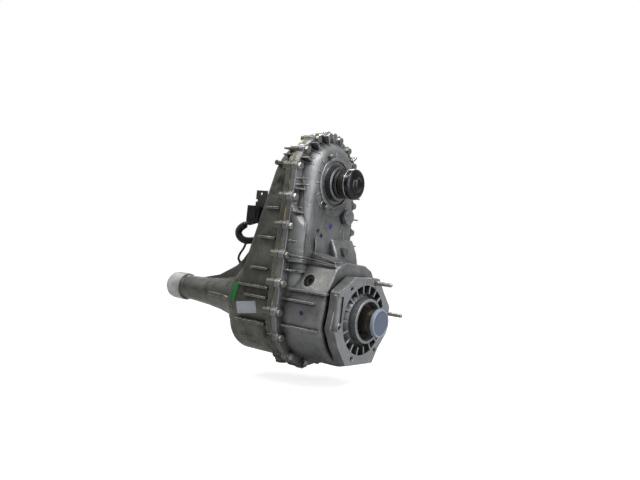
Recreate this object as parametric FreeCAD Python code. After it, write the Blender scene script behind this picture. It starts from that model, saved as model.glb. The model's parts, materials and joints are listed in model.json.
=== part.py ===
import FreeCAD, Part
import math
import os
from FreeCAD import Vector

# A two-speed, chain-driven transfer case for a four-wheel-drive truck.  Millimetres.
# Origin: centre of the adapter face, on the main shaft axis.  +X points out of that face towards the
# gearbox, +Z from the main shaft axis to the front output axis, +Y to the side away from the filler.

# ---- driving dimensions ------------------------------------------------------------------------
CHAIN_PITCH = 9.525
SPROCKET_TEETH = 36
CHAIN_LINKS = 91
CENTRE_DISTANCE = (CHAIN_LINKS - SPROCKET_TEETH) * CHAIN_PITCH / 2
SPROCKET_R = CHAIN_PITCH / (2 * math.sin(math.pi / SPROCKET_TEETH))
CHAIN_BACK_X = -169.0
CHAIN_FRONT_X = -137.0

PARTING_X = -140.0            # joint face between the two case halves
FLANGE_THICKNESS = 13.0       # joint flange of each half
LOWER_LOBE_R = 113.0          # joint flange outline round the main shaft
UPPER_LOBE_R = 99.0           # joint flange outline round the front output
FLANGE_LAND = 10.0            # width of the rear joint flange outside the box walls
FRONT_INSET = 16.0            # the same for the front half, whose shoulder is more rounded
SHOULDER_R = 26.0             # rounding of the front half's shoulder
WALL = 5.0
CHAIN_FACE_X = -104.0         # flat front face of the chain box
BACK_TOP_X = -191.0           # sloping rear face of the chain box, at BACK_TOP_Z
BACK_TOP_Z = 294.0
BACK_SLOPE = 0.2524           # how far the rear face goes back for each mm down

ADAPTER_THICKNESS = 22.0
ADAPTER_BOLT_R = 78.0         # six fixing places on a 156 mm circle
ADAPTER_STUD_ANGLES = (9, 69)
ADAPTER_HOLE_ANGLES = (129, 189, 249, 309)
STUD_R = 4.0
TAPPED_R = 3.4                # core of the stud threads and of the tapped holes
STUD_TIP_X = 38.0
STUD_STEP_X = -1.5            # full diameter from here on, inside a relief around the hole
STUD_RELIEF_R = 5.0
COLLAR_R = 43.5
COLLAR_BORE_R = 38.0
COLLAR_FRONT_X = 11.8

DRUM_R = 98.0                 # planetary housing in the front half
DRUM_FRONT_X = -30.0
TAIL_END_X = -540.0
YOKE_R = 22.0                 # the rear propeller shaft's slip yoke, which is not part of this
BUSHING_R = 24.8
TAIL_SEAL_R = 26.5

MODULE = 2.5
PRESSURE_ANGLE = math.radians(25.0)
ADDENDUM = 0.8
DEDENDUM = 1.05
BACKLASH = 0.30
SUN_TEETH = 36
PLANET_TEETH = 12
RING_TEETH = SUN_TEETH + 2 * PLANET_TEETH
PLANET_ANGLES = (90, 210, 330)
PLANET_ORBIT_R = MODULE * (SUN_TEETH + PLANET_TEETH) / 2
RING_GEAR_R = 86.0
GEAR_BACK_X = -91.0
GEAR_FRONT_X = -61.0

RUNNING = 0.05                # radial clearance of a shaft in its bearing
INPUT_R = 25.0
INPUT_END_X = 36.0
MAIN_R = 20.0
TAIL_SPLINE_R = 17.5
BEARING_SEAT_X = -224.0       # front end of the rear bearing boss
FRONT_OUTPUT_R = 22.0
SHIFT_Y = 30.0                # shift shaft, between the two strands of the chain
SHIFT_Z = 126.0
RAIL_Y = -4.0
RAIL_Z = 96.0
RAIL_R = 8.0
SHIFT_STROKE = 14.0           # range fork travel between high and low
SHIFT_TURN = 150.0            # turn of the shift shaft for that travel, degrees
MOTOR_FACE_X = -246.0
MOTOR_Y = 48.0
MOTOR_Z = 188.0
MOTOR_END_X = -308.0

CASE_BOLT_R = 4.0
CASE_BOLT_HEX = 12.0          # across the flats
CASE_BOSS_R = 10.0
CASE_BOSS_FRONT_X = -126.0
HEAD_SPOT_R = 8.4             # spot face round each bolt head
X_AXIS = Vector(1, 0, 0)


# ---- small helpers -----------------------------------------------------------------------------
def at(x, y=0.0, z=0.0):
    return Vector(x, y, z)


def rod(r, x0, x1, y=0.0, z=0.0):
    """A solid cylinder along X."""
    return Part.makeCylinder(r, x1 - x0, at(x0, y, z), X_AXIS)


def tube(r_out, r_in, x0, x1, y=0.0, z=0.0):
    return rod(r_out, x0, x1, y, z).cut(rod(r_in, x0 - 1, x1 + 1, y, z))


def peg(r, start, end):
    """A solid cylinder from one point to another."""
    along = end - start
    return Part.makeCylinder(r, along.Length, start, along)


def block(x0, x1, y0, y1, z0, z1):
    return Part.makeBox(x1 - x0, y1 - y0, z1 - z0, at(x0, y0, z0))


def turned(profile, y=0.0, z=0.0):
    """A solid of revolution about a line along X, from (x, radius) corners."""
    corners = [at(x, y, z + r) for x, r in profile]
    face = Part.Face(Part.makePolygon(corners + corners[:1]))
    return face.revolve(at(0, y, z), X_AXIS, 360)


def plate(points, x0, x1):
    """A flat plate across X, from (y, z) corners."""
    corners = [at(x0, y, z) for y, z in points]
    return Part.Face(Part.makePolygon(corners + corners[:1])).extrude(at(x1 - x0))


def side_plate(points, y0, y1):
    """A flat plate across Y, from (x, z) corners."""
    corners = [at(x, y0, z) for x, z in points]
    return Part.Face(Part.makePolygon(corners + corners[:1])).extrude(at(0, y1 - y0))


def joined(shapes):
    return shapes[0].multiFuse(shapes[1:]).removeSplitter()


def without(shape, tools):
    return shape.cut(tools)


def polar(r, degrees, z=0.0):
    a = math.radians(degrees)
    return r * math.cos(a), z + r * math.sin(a)


def rounded(shape, x, radius):
    """The shape with its edges in the plane at x rounded."""
    rim = [e for e in shape.Edges if abs(e.BoundBox.XMin - x) < 1e-4 and abs(e.BoundBox.XMax - x) < 1e-4]
    return shape.makeFillet(radius, rim)


def rounded_plate(points, x0, x1, radius):
    """A plate whose corners along X are rounded."""
    body = plate(points, x0, x1)
    length = abs(x1 - x0)
    corners = [e for e in body.Edges if e.BoundBox.XLength > length - 1e-4]
    return body.makeFillet(radius, corners)


def radial_rib(degrees, r0, r1, thickness, x0, x1, z=0.0):
    rib = block(x0, x1, r0, r1, z - thickness / 2, z + thickness / 2)
    rib.rotate(at(0, 0, z), X_AXIS, degrees)
    return rib


def hexagon(across_flats, x0, x1, y, z):
    corner = across_flats / math.sqrt(3)
    points = [polar(corner, 60 * i) for i in range(6)]
    return plate([(y + a, z + b) for a, b in points], x0, x1)


def bolt(r, tip_x, head_x, across_flats, head_height, y, z, towards=1):
    """A flanged hexagon bolt along X; its head stands on the plane at head_x."""
    flange_r, flange_height = 0.66 * across_flats, 1.5
    top = head_x + towards * head_height
    low, high = sorted((tip_x, head_x))
    f0, f1 = sorted((head_x, head_x + towards * flange_height))
    h0, h1 = sorted((head_x, top))
    return joined([rod(r, low, high, y, z), rod(flange_r, f0, f1, y, z), hexagon(across_flats, h0, h1, y, z)])


# ---- the two-lobed outline -----------------------------------------------------------------------
def tangent_point(lower_r, upper_r, upper):
    """Where the right-hand straight side of the outline touches a lobe."""
    lean = math.asin((lower_r - upper_r) / CENTRE_DISTANCE)
    r, z = (upper_r, CENTRE_DISTANCE) if upper else (lower_r, 0.0)
    return r * math.cos(lean), z + r * math.sin(lean)


def lobes(lower_r, upper_r, x0, x1):
    """A slab of the outline: two lobes joined by their tangents."""
    y0, z0 = tangent_point(lower_r, upper_r, False)
    y1, z1 = tangent_point(lower_r, upper_r, True)
    edges = [
        Part.LineSegment(at(x0, y0, z0), at(x0, y1, z1)).toShape(),
        Part.Arc(at(x0, y1, z1), at(x0, 0, CENTRE_DISTANCE + upper_r), at(x0, -y1, z1)).toShape(),
        Part.LineSegment(at(x0, -y1, z1), at(x0, -y0, z0)).toShape(),
        Part.Arc(at(x0, -y0, z0), at(x0, 0, -lower_r), at(x0, y0, z0)).toShape(),
    ]
    return Part.Face(Part.Wire(edges)).extrude(at(x1 - x0))


def box_slab(inset, x0, x1):
    """The chain box outline, moved in from the joint flange by inset."""
    return lobes(LOWER_LOBE_R - inset, UPPER_LOBE_R - inset, x0, x1)


def back_x(z):
    """The sloping rear face of the chain box at height z."""
    return BACK_TOP_X - (BACK_TOP_Z - z) * BACK_SLOPE


def behind_back(forward=0.0):
    """The space behind the sloping rear face, moved forward into the wall."""
    low, high, far, wide = -160.0, 400.0, -700.0, 200.0
    corners = [(far, low), (back_x(low) + forward, low), (back_x(high) + forward, high), (far, high)]
    return side_plate(corners, -wide, wide)


def bolt_places():
    """Centres of the case bolts round the joint flange, as (y, z)."""
    lower, upper = LOWER_LOBE_R - 4.0, UPPER_LOBE_R - 4.0
    places = [polar(lower, a) for a in (181, 208, 235, 262, 289, 316, 343)]
    places += [polar(upper, a, CENTRE_DISTANCE) for a in (166, 143, 119, 96, 74, 52, 29, 4)]
    y0, z0 = tangent_point(lower, upper, False)
    y1, z1 = tangent_point(lower, upper, True)
    for height in (54, 110, 167, 224):
        y = y0 + (y1 - y0) * (height - z0) / (z1 - z0)
        places += [(-y, height), (y, height)]
    return places


def dowel_places():
    return [polar(LOWER_LOBE_R - 7.0, 194), polar(UPPER_LOBE_R - 7.0, 16, CENTRE_DISTANCE)]


# ---- front half of the case ----------------------------------------------------------------------
ADAPTER_OUTLINE = [(-42, 82), (40, 82), (60, 56), (88, 26), (88, -26), (60, -58), (44, -86), (-46, -86),
                   (-74, -52), (-94, -16), (-88, 20), (-87, 54)]


def planetary_housing():
    """A round drum with a squared shoulder above it on each side."""
    back = -128.0
    shoulders = [(-93, 30), (-90, 48), (-66, 92), (-52, 103), (-30, 108), (36, 103), (58, 93), (86, 56), (90, 30)]
    drum = rounded(rod(DRUM_R, back, DRUM_FRONT_X), DRUM_FRONT_X, 11)
    top = rounded(rounded_plate(shoulders, back, DRUM_FRONT_X, 8), DRUM_FRONT_X, 6)
    return joined([drum, top])


def drum_ribs():
    """Casting ribs along the filler side of the planetary housing, as (height, outer y, x0, x1)."""
    ribs = [(46, -97, -136, -26), (81, -88, -138, -100), (26, -101, -135, -50), (-25, -101, -130, -34)]
    shapes = [block(x0, x1, y, y + 25, z - 2, z + 2) for z, y, x0, x1 in ribs]
    shapes.append(rod(3.5, -137, -34, -60, 99))
    return shapes


def adapter_flange():
    """The plate that bolts to the gearbox, with a ring of deep pockets and radial ribs."""
    ring_out, rib_start, floor = 68.0, 52.0, -15.0
    body = rounded_plate(ADAPTER_OUTLINE, -ADAPTER_THICKNESS, 0, 6)
    keep = [radial_rib(a, rib_start, ring_out + 4, 3.4, floor - 1, 2) for a in range(0, 360, 20)]
    keep += [rod(CASE_BOSS_R, floor - 1, 2, *polar(ADAPTER_BOLT_R, a))
             for a in ADAPTER_STUD_ANGLES + ADAPTER_HOLE_ANGLES]
    pockets = without(tube(ring_out, COLLAR_R - 2, floor, 1), keep)
    side_step = block(-9, 1, -110, -73, -19, 46)
    pillar = peg(8, at(-9, -80, -22), at(-9, -80, 48))
    hole_boss = rod(9, -ADAPTER_THICKNESS, 0, *polar(ADAPTER_BOLT_R, 189))
    return joined([without(body, [pockets, side_step]), pillar, hole_boss])


def adapter_collar():
    back, foot_r = -20.0, 52.0
    return turned([(back, COLLAR_BORE_R - 4), (back, foot_r), (-14, foot_r), (-6, COLLAR_R),
                   (COLLAR_FRONT_X - 1, COLLAR_R), (COLLAR_FRONT_X, COLLAR_R - 1),
                   (COLLAR_FRONT_X, COLLAR_BORE_R - 4)])


def output_boss():
    """The stepped boss round the front output, with three retainer lugs."""
    steps = [(-118, 30), (-118, 47), (-108, 47), (-108, 62), (-101.5, 62), (-100, 60.5), (-100, 53), (-96.5, 53),
             (-96, 52.5), (-96, 45), (-98.5, 44), (-98.5, 39), (-94, 38), (-94, 30)]
    boss = turned(steps, 0, CENTRE_DISTANCE)
    return joined([boss] + [rod(8, -112, -97.5, *polar(RETAINER_R, a, CENTRE_DISTANCE)) for a in RETAINER_ANGLES])


RETAINER_ANGLES = (0, 120, 240)
RETAINER_R = 59.0


def shoulder_gussets():
    """Thin webs across the rounded shoulder of the chain box, between the bolt bosses."""
    front, shapes = CHAIN_FACE_X - 5.0, []
    for a in (155, 131, 108, 41, 17):
        shapes.append(radial_rib(a, UPPER_LOBE_R - 18, UPPER_LOBE_R - 2, 3, PARTING_X + 8, front, CENTRE_DISTANCE))
    for height in (82, 139, 195, 240):
        for side in (-1, 1):
            y = tangent_point(LOWER_LOBE_R, UPPER_LOBE_R, True)[0] + (CENTRE_DISTANCE - height) * 0.04
            inner, outer = sorted((side * (y - 18), side * (y - 1)))
            shapes.append(block(PARTING_X + 8, front, inner, outer, height - 1.5, height + 1.5))
    return shapes


def front_case():
    chain_box = rounded(box_slab(FRONT_INSET, PARTING_X, CHAIN_FACE_X), CHAIN_FACE_X, SHOULDER_R)
    shift_block = side_plate([(-116, 152), (-101, 149), (-88, 124), (-80, 92), (-116, 88)], 4, 80)
    shift_block = shift_block.makeFillet(5, [e for e in shift_block.Edges if e.BoundBox.XMin > -102])
    ledge = side_plate([(-128, 127), (-38, 107), (-38, 90), (-128, 90)], -60, -20)
    corner_web = plate([(-84, 172), (-86, 98), (-46, 98)], -122, -99)
    outside = [
        box_slab(0, PARTING_X, PARTING_X + FLANGE_THICKNESS), chain_box, planetary_housing(),
        rod(72, -34, -18), adapter_flange(), adapter_collar(), output_boss(), shift_block, ledge, corner_web,
        block(-106, -101, -47, -43, 108, 152), rod(15, -128, -92, 46, 198),
    ]
    outside += [rod(CASE_BOSS_R, PARTING_X, CASE_BOSS_FRONT_X, y, z) for y, z in bolt_places()]
    outside += [rod(9, PARTING_X, CASE_BOSS_FRONT_X + 3, *polar(UPPER_LOBE_R - 4, 85, CENTRE_DISTANCE))]
    outside += shoulder_gussets() + drum_ribs()
    body = joined(outside)

    cavity_front = CHAIN_FACE_X - WALL
    cavity = rounded(box_slab(FRONT_INSET + WALL, PARTING_X - 1, cavity_front), cavity_front, SHOULDER_R - WALL)
    cavity = without(cavity, [rod(47, -118, -100, 0, CENTRE_DISTANCE)])
    panel = box_slab(FRONT_INSET + SHOULDER_R, CHAIN_FACE_X - 1.5, CHAIN_FACE_X + 1)
    panel = panel.common(block(-110, -100, -120, 46, 115, 244))
    panel = without(panel, [rod(66, -110, -100, 0, CENTRE_DISTANCE), block(-110, -100, -47, -43, 100, 152),
                            shift_block, corner_web])
    holes = [
        cavity, panel, rod(RING_GEAR_R, -130, -42),
        rod(40, -50, -14), rod(COLLAR_BORE_R, -20, 20),
        rod(40, -119, -101, 0, CENTRE_DISTANCE), rod(36, -120, -90, 0, CENTRE_DISTANCE),
        rod(8 + RUNNING, -120, -80, SHIFT_Y, SHIFT_Z), rod(RAIL_R, -120, -97, RAIL_Y, RAIL_Z),
        fill_pocket(),
    ]
    holes += [rod(CASE_BOLT_R + 0.5, PARTING_X - 1, CASE_BOSS_FRONT_X + 1, y, z) for y, z in bolt_places()]
    holes += [rod(HEAD_SPOT_R, CASE_BOSS_FRONT_X, CASE_BOSS_FRONT_X + 13, y, z) for y, z in bolt_places()]
    holes += [rod(5, PARTING_X - 1, -130, y, z) for y, z in dowel_places()]
    for a in ADAPTER_STUD_ANGLES + ADAPTER_HOLE_ANGLES:
        y, z = polar(ADAPTER_BOLT_R, a)
        holes += [rod(TAPPED_R, -18, 1, y, z), rod(STUD_RELIEF_R, STUD_STEP_X, 1, y, z)]
    holes += [rod(2.5, -110, -97, *polar(RETAINER_R, a, CENTRE_DISTANCE)) for a in RETAINER_ANGLES]
    return without(body, holes)


FILL_X, FILL_Z = -82.0, 66.0
FILL_AXIS = Vector(0, -1, 0.35)


def fill_pocket():
    """The recess that the filler plug sits in, open to the filler side."""
    seat = at(FILL_X, -70, FILL_Z - 3)
    return peg(13, seat, seat + FILL_AXIS * 60)


def fill_plug():
    """A screw plug with a square socket, at the bottom of the recess."""
    seat = at(FILL_X, -70, FILL_Z - 3)
    head = peg(10, seat, seat + FILL_AXIS * 6)
    return without(head, [peg(5, seat + FILL_AXIS * 2, seat + FILL_AXIS * 8)])


# ---- rear half of the case -----------------------------------------------------------------------
TAIL_END_R = 28.5
DOME = [(-255, 98), (-274, 93), (-290, 82), (-304, 69), (-316, 58), (-330, 49), (-350, 43), (-380, 37), (-420, 32),
        (-470, 28.5), (-503, 27), (-509, TAIL_END_R), (TAIL_END_X, TAIL_END_R)]


def rear_outside():
    slab = without(box_slab(FLANGE_LAND, -300, PARTING_X), [behind_back()])
    sloping = [e for e in slab.Edges if e.BoundBox.XMax < -150]
    slab = slab.makeFillet(14, sloping)
    tail = turned([(PARTING_X, 0), (PARTING_X, 98)] + DOME + [(TAIL_END_X, 0)])
    web = side_plate([(-225, 150), (-288, 128), (-314, 108), (-332, 84), (-350, 68), (-400, 42), (-452, 29.5),
                      (-490, 25), (-490, 10), (-230, 10)], -5, 5)
    side_fins = [plate_in_plan([(-250, 90), (-300, 78), (-340, 50), (-400, 37), (-400, 16), (-250, 16)], s)
                 for s in (-1, 1)]
    return [slab, tail, web] + side_fins


def plate_in_plan(points, side):
    """A horizontal fin at the height of the main shaft, from (x, y) corners."""
    corners = [at(x, side * y, -4) for x, y in points]
    return Part.Face(Part.makePolygon(corners + corners[:1])).extrude(at(0, 0, 8))


def rear_bosses():
    finger = rounded(rod(8.5, -164, PARTING_X), -164, 4)
    shapes = []
    for y, z in bolt_places():
        copy = finger.copy()
        copy.translate(at(0, y, z))
        shapes.append(copy)
    return shapes


def rear_ribs():
    """Casting ribs on the filler side, as (height, outer y, x0, x1)."""
    ribs = [(78, -106, -214, -170), (41, -110, -238, -160), (22, -112, -218, -160), (-30, -110, -240, -160),
            (140, -104, -205, -160), (200, -100, -196, -160)]
    shapes = [block(x0, x1, y, y + 30, z - 2, z + 2) for z, y, x0, x1 in ribs]
    shelf = rounded_shelf(-188, -150, -95, 290)
    upper = [block(-172, -150, -90, -60, z, z + 3) for z in (306, 318)]
    return shapes + [shelf] + upper


def rounded_shelf(x0, x1, y, z):
    """A shelf with a rounded ear at its rear end."""
    return joined([block(x0 + 5, x1, y, y + 30, z - 2.5, z + 2.5), peg(5, at(x0 + 5, y, z), at(x0 + 5, y + 30, z))])


def sensor_point(r, aside=0.0):
    """A point on the speed sensor's axis, at radius r from the main shaft; aside moves it across."""
    y, z = polar(r, SENSOR_ANGLE)
    across_y, across_z = polar(aside, SENSOR_ANGLE + 90)
    return at(SENSOR_X, y + across_y, z + across_z)


def rear_case():
    motor_pads = [rod(23, MOTOR_FACE_X, -222, SHIFT_Y, SHIFT_Z)]
    motor_pads += [rod(9, MOTOR_FACE_X, -200, y, z) for y, z in MOTOR_BOLTS]
    outside = [box_slab(0, PARTING_X - FLANGE_THICKNESS, PARTING_X)] + rear_outside() + rear_bosses()
    outside += rear_ribs() + motor_pads
    outside += [rod(10, -204, -180, VENT_Y, VENT_Z), peg(14, at(DRAIN_X, 0, -114), at(DRAIN_X, 0, -90))]
    outside += [peg(12, sensor_point(30), sensor_point(62))]
    body = joined(outside)

    box = without(box_slab(FLANGE_LAND + WALL, -300, PARTING_X + 1), [behind_back(WALL)])
    drum = turned([(PARTING_X + 1, 0), (PARTING_X + 1, 93), (-250, 93), (-268, 88), (-283, 77), (-297, 64),
                   (-306, 56), (-306, 0)])
    output_seat = rod(38, -216, -172, 0, CENTRE_DISTANCE)
    rail_seat = rod(13, -242, -226, RAIL_Y, RAIL_Z)
    cavity = without(joined([box, drum]), [rod(52, -320, BEARING_SEAT_X), output_seat, rail_seat])
    tail_bore = turned([(BEARING_SEAT_X + 1, 0), (BEARING_SEAT_X + 1, 40), (-260, 40), (-260, 36), (-330, 36.5),
                        (-352, 36.5), (-380, 31.5), (-420, 27.2), (-470, 24.2), (-500, 23.6), (-502, BUSHING_R),
                        (-531, BUSHING_R), (-531, TAIL_SEAL_R), (TAIL_END_X - 1, TAIL_SEAL_R), (TAIL_END_X - 1, 0)])
    holes = [
        cavity, tail_bore, rod(31, -189, -160, 0, CENTRE_DISTANCE), rod(RAIL_R, -236, -200, RAIL_Y, RAIL_Z),
        rod(8 + RUNNING, -260, -200, SHIFT_Y, SHIFT_Z), rod(3, -230, -180, VENT_Y, VENT_Z),
        peg(8, at(DRAIN_X, 0, -120), at(DRAIN_X, 0, -80)),
        peg(8, sensor_point(22), sensor_point(80)), peg(5, at(PICKUP_X, 0, -38), at(PICKUP_X, 0, -60)),
    ]
    holes += [rod(CASE_BOLT_R, -160, PARTING_X + 1, y, z) for y, z in bolt_places()]
    holes += [rod(5, -150, PARTING_X + 1, y, z) for y, z in dowel_places()]
    holes += [rod(3, -262, -230, y, z) for y, z in MOTOR_BOLTS]
    return without(body, holes)


MOTOR_BOLTS = ((2, 153), (54, 107), (20, 214))
VENT_Y, VENT_Z = 52.0, 292.0
DRAIN_X = -196.0
PICKUP_X = -251.0
SENSOR_X, SENSOR_ANGLE = -350.0, 68.0
TONE_WHEEL_R = 33.0


# ---- fasteners and case hardware -----------------------------------------------------------------
def case_bolts():
    return [bolt(CASE_BOLT_R, -159, CASE_BOSS_FRONT_X, CASE_BOLT_HEX, 7, y, z) for y, z in bolt_places()]


def dowel_pins():
    return [rod(5, -150, -130, y, z) for y, z in dowel_places()]


def adapter_studs():
    studs = []
    for a in ADAPTER_STUD_ANGLES:
        y, z = polar(ADAPTER_BOLT_R, a)
        profile = [(-18, 0), (-18, TAPPED_R), (STUD_STEP_X, TAPPED_R), (STUD_STEP_X, STUD_R), (STUD_TIP_X - 2, STUD_R),
                   (STUD_TIP_X, STUD_R - 1.5), (STUD_TIP_X, 0)]
        studs.append(turned(profile, y, z))
    return studs


def retainer_bolts():
    return [bolt(2.5, -108, -97.5, 8, 4, *polar(RETAINER_R, a, CENTRE_DISTANCE)) for a in RETAINER_ANGLES]


def motor_bolts():
    return [bolt(3, -236, MOTOR_FACE_X - 9, 10, 5, y, z, -1) for y, z in MOTOR_BOLTS]


def drain_plug():
    head = peg(12, at(DRAIN_X, 0, -119), at(DRAIN_X, 0, -114))
    thread = peg(8, at(DRAIN_X, 0, -114), at(DRAIN_X, 0, -100))
    socket = peg(5, at(DRAIN_X, 0, -120), at(DRAIN_X, 0, -112))
    return without(joined([head, thread]), [socket])


def vent_tube():
    back = -204.0
    return turned([(-192, 1.5), (-192, 3), (back, 3), (back, 5), (back - 8, 5), (back - 8, 8), (back - 14, 7),
                   (back - 14, 1.5)], VENT_Y, VENT_Z)


def bearing(r_out, r_in, x0, x1, y=0.0, z=0.0):
    """A sealed ball bearing: two races with shields set back between them."""
    outer, inner, set_back = r_out - 0.25 * (r_out - r_in), r_in + 0.25 * (r_out - r_in), 1.2
    return turned([(x0, r_in), (x0, inner), (x0 + set_back, inner), (x0 + set_back, outer), (x0, outer),
                   (x0, r_out), (x1, r_out), (x1, outer), (x1 - set_back, outer), (x1 - set_back, inner),
                   (x1, inner), (x1, r_in)], y, z)


def seal(r_out, r_shaft, x0, x1, y=0.0, z=0.0):
    """A shaft seal: steel shell section with a lip that points inwards."""
    return turned([(x0, r_out), (x1, r_out), (x1, r_shaft + 3), (x1 - 2, r_shaft + RUNNING),
                   (x1 - 4, r_shaft + RUNNING), (x0 + 2, r_shaft + 4), (x0 + 2, r_out - 2), (x0, r_out - 2)], y, z)


def front_output_bearings():
    return [bearing(40, 25 + RUNNING, -117, -101, 0, CENTRE_DISTANCE),
            bearing(31, 15 + RUNNING, -189, -173, 0, CENTRE_DISTANCE)]


# ---- gears ---------------------------------------------------------------------------------------
def involute(angle):
    return math.tan(angle) - angle


def half_angle(r, pitch_r, thickness):
    """Half the angle that a tooth of this pitch-line thickness covers at radius r."""
    base_r = pitch_r * math.cos(PRESSURE_ANGLE)
    at_base = thickness / (2 * pitch_r) + involute(PRESSURE_ANGLE)
    return at_base - (involute(math.acos(base_r / r)) if r > base_r else 0.0)


def toothed(teeth, root_r, tip_r, thickness, first, x0, x1, pitch_r, y=0.0, z=0.0):
    """A prism of straight-sided teeth; first is the angle of a tooth's middle, in degrees."""
    points = []
    for i in range(teeth):
        middle = math.radians(first) + 2 * math.pi * i / teeth
        low, high = half_angle(root_r, pitch_r, thickness), half_angle(tip_r, pitch_r, thickness)
        for r, a in ((root_r, -low), (tip_r, -high), (tip_r, high), (root_r, low)):
            points.append((y + r * math.cos(middle + a), z + r * math.sin(middle + a)))
    return plate(points, x0, x1)


def external_gear(teeth, first, x0, x1, y=0.0, z=0.0):
    pitch_r = MODULE * teeth / 2
    thickness = math.pi * MODULE / 2 - BACKLASH / 2
    return toothed(teeth, pitch_r - DEDENDUM * MODULE, pitch_r + ADDENDUM * MODULE, thickness, first,
                   x0, x1, pitch_r, y, z)


def ring_gear():
    pitch_r = MODULE * RING_TEETH / 2
    space = math.pi * MODULE / 2 + BACKLASH / 2
    bore = toothed(RING_TEETH, pitch_r - ADDENDUM * MODULE, pitch_r + DEDENDUM * MODULE, space,
                   180 / RING_TEETH, GEAR_BACK_X - 5, GEAR_FRONT_X + 3, pitch_r)
    return without(rod(RING_GEAR_R, GEAR_BACK_X - 3, GEAR_FRONT_X + 1), [bore])


def sun_gear():
    body = external_gear(SUN_TEETH, 0, GEAR_BACK_X, GEAR_FRONT_X)
    return without(body, [rod(30, -83, 0), rod(34, GEAR_BACK_X - 1, -83)])


def planet_gear(angle):
    y, z = polar(PLANET_ORBIT_R, angle)
    body = external_gear(PLANET_TEETH, 180 / PLANET_TEETH, GEAR_BACK_X, GEAR_FRONT_X, y, z)
    return without(body, [rod(6 + RUNNING, -100, -50, y, z)])


WASHER = 1.5
CARRIER_BACK_X = GEAR_BACK_X - 0.2 - WASHER
CARRIER_FRONT_X = GEAR_FRONT_X + 0.2 + WASHER


def planet_carrier():
    """Two plates joined by three posts, with a dog ring behind for the range collar."""
    front = tube(71, 30 + RUNNING + 1, CARRIER_FRONT_X, CARRIER_FRONT_X + 5)
    rear = tube(71, 34, CARRIER_BACK_X - 5.3, CARRIER_BACK_X)
    dog_ring = tube(42, 34, -106, CARRIER_BACK_X - 5)
    posts = [rod(8.5, CARRIER_BACK_X - 1, CARRIER_FRONT_X + 1, *polar(PLANET_ORBIT_R, a + 60)) for a in PLANET_ANGLES]
    pin_holes = [rod(6, -110, -40, *polar(PLANET_ORBIT_R, a)) for a in PLANET_ANGLES]
    return without(joined([front, rear, dog_ring] + posts), pin_holes)


def planet_pins():
    return [rod(6, CARRIER_BACK_X - 5.3, CARRIER_FRONT_X + 5, *polar(PLANET_ORBIT_R, a)) for a in PLANET_ANGLES]


def thrust_washers():
    shapes = []
    for a in PLANET_ANGLES:
        y, z = polar(PLANET_ORBIT_R, a)
        shapes.append(tube(11, 6, CARRIER_BACK_X, CARRIER_BACK_X + WASHER, y, z))
        shapes.append(tube(11, 6, CARRIER_FRONT_X - WASHER, CARRIER_FRONT_X, y, z))
    return shapes


# ---- shafts --------------------------------------------------------------------------------------
def spline_grooves(bore_r, depth, count, x0, x1, y=0.0, z=0.0):
    """Narrow V grooves cut outwards from a bore: the internal splines."""
    shapes = []
    for i in range(count):
        a = 360.0 * i / count
        width = 0.10 * 360.0 / count
        points = [polar(bore_r - 0.6, a - width), polar(bore_r + depth, a), polar(bore_r - 0.6, a + width)]
        shapes.append(plate([(y + p, z + q) for p, q in points], x0, x1))
    return shapes


def input_shaft():
    body = turned([(-83, 20), (-83, 30), (-60, 30), (-50, 30), (-50, 29), (-33, 29), (-33, INPUT_R),
                   (INPUT_END_X - 1.5, INPUT_R), (INPUT_END_X, INPUT_R - 1.5), (INPUT_END_X, 18.5),
                   (INPUT_END_X - 1.5, 17), (-35, 17), (-35, 0), (-55, 0), (-55, 20)])
    return without(body, spline_grooves(17, 2, 20, -30, INPUT_END_X + 1))


def pilot_bearing():
    return tube(20, 15 + RUNNING, -80, -60)


def main_shaft():
    return turned([(-57, 0), (-57, 15), (-83.5, 15), (-83.5, MAIN_R), (-136, MAIN_R), (-136, 24), (-217, 24),
                   (-217, 24.5), (-223.5, 24.5), (-223.5, 22.5), (-243, 22.5), (-243, MAIN_R), (-430, MAIN_R),
                   (-436, TAIL_SPLINE_R), (-527, TAIL_SPLINE_R), (-528, TAIL_SPLINE_R - 1), (-528, 0)])


def range_collar():
    """The sliding collar that joins the main shaft to the sun gear or to the planet carrier."""
    bore = MAIN_R + RUNNING
    ring = turned([(-84, bore), (-84, 31), (-85.5, 33), (-107.5, 33), (-107.5, 41), (-110.7, 41), (-110.7, 34),
                   (-117.3, 34), (-117.3, 41), (-121, 41), (-121, bore)])
    slots = [radial_rib(a, 30.5, 36, 2.2, -108, -80) for a in range(0, 360, 15)]
    return without(ring, slots)


def clutch_hub():
    return tube(36, 24, -204, -172)


def clutch_drum():
    return turned([(-169, 40), (-169, 61), (-204, 61), (-204, 57), (-172, 57), (-172, 40)])


PLATE_PITCH = 2.3
PLATE_THICKNESS = 2.0


def clutch_plates(r_in, r_out, first):
    shapes = []
    for i in range(5):
        x = -176.0 - (2 * i + first) * PLATE_PITCH
        shapes.append(tube(r_out, r_in, x - PLATE_THICKNESS, x))
    return shapes


def ball_ramp():
    """The cam ring of the clutch with its armature plate."""
    return turned([(-205, 24), (-205, 50), (-209, 50), (-209, 55), (-212, 55), (-212, 36), (-216, 32), (-216, 24)])


def clutch_coil():
    """The magnet coil, seated on the front end of the bearing boss."""
    return turned([(-213, 40), (-213, 56), (BEARING_SEAT_X, 56), (BEARING_SEAT_X, 41), (-222, 41), (-222, 38),
                   (-216, 38)])


def tone_wheel():
    teeth = 24
    return without(toothed(teeth, 30.5, TONE_WHEEL_R, 4.0, 0, SENSOR_X - 5, SENSOR_X + 5, 32), [rod(MAIN_R, -400, -300)])


def oil_pump_housing():
    ring = without(rod(40, -259, -244), [rod(30, -256, -243, 0, 2.0), rod(MAIN_R + 3, -260, -240)])
    return ring


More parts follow.
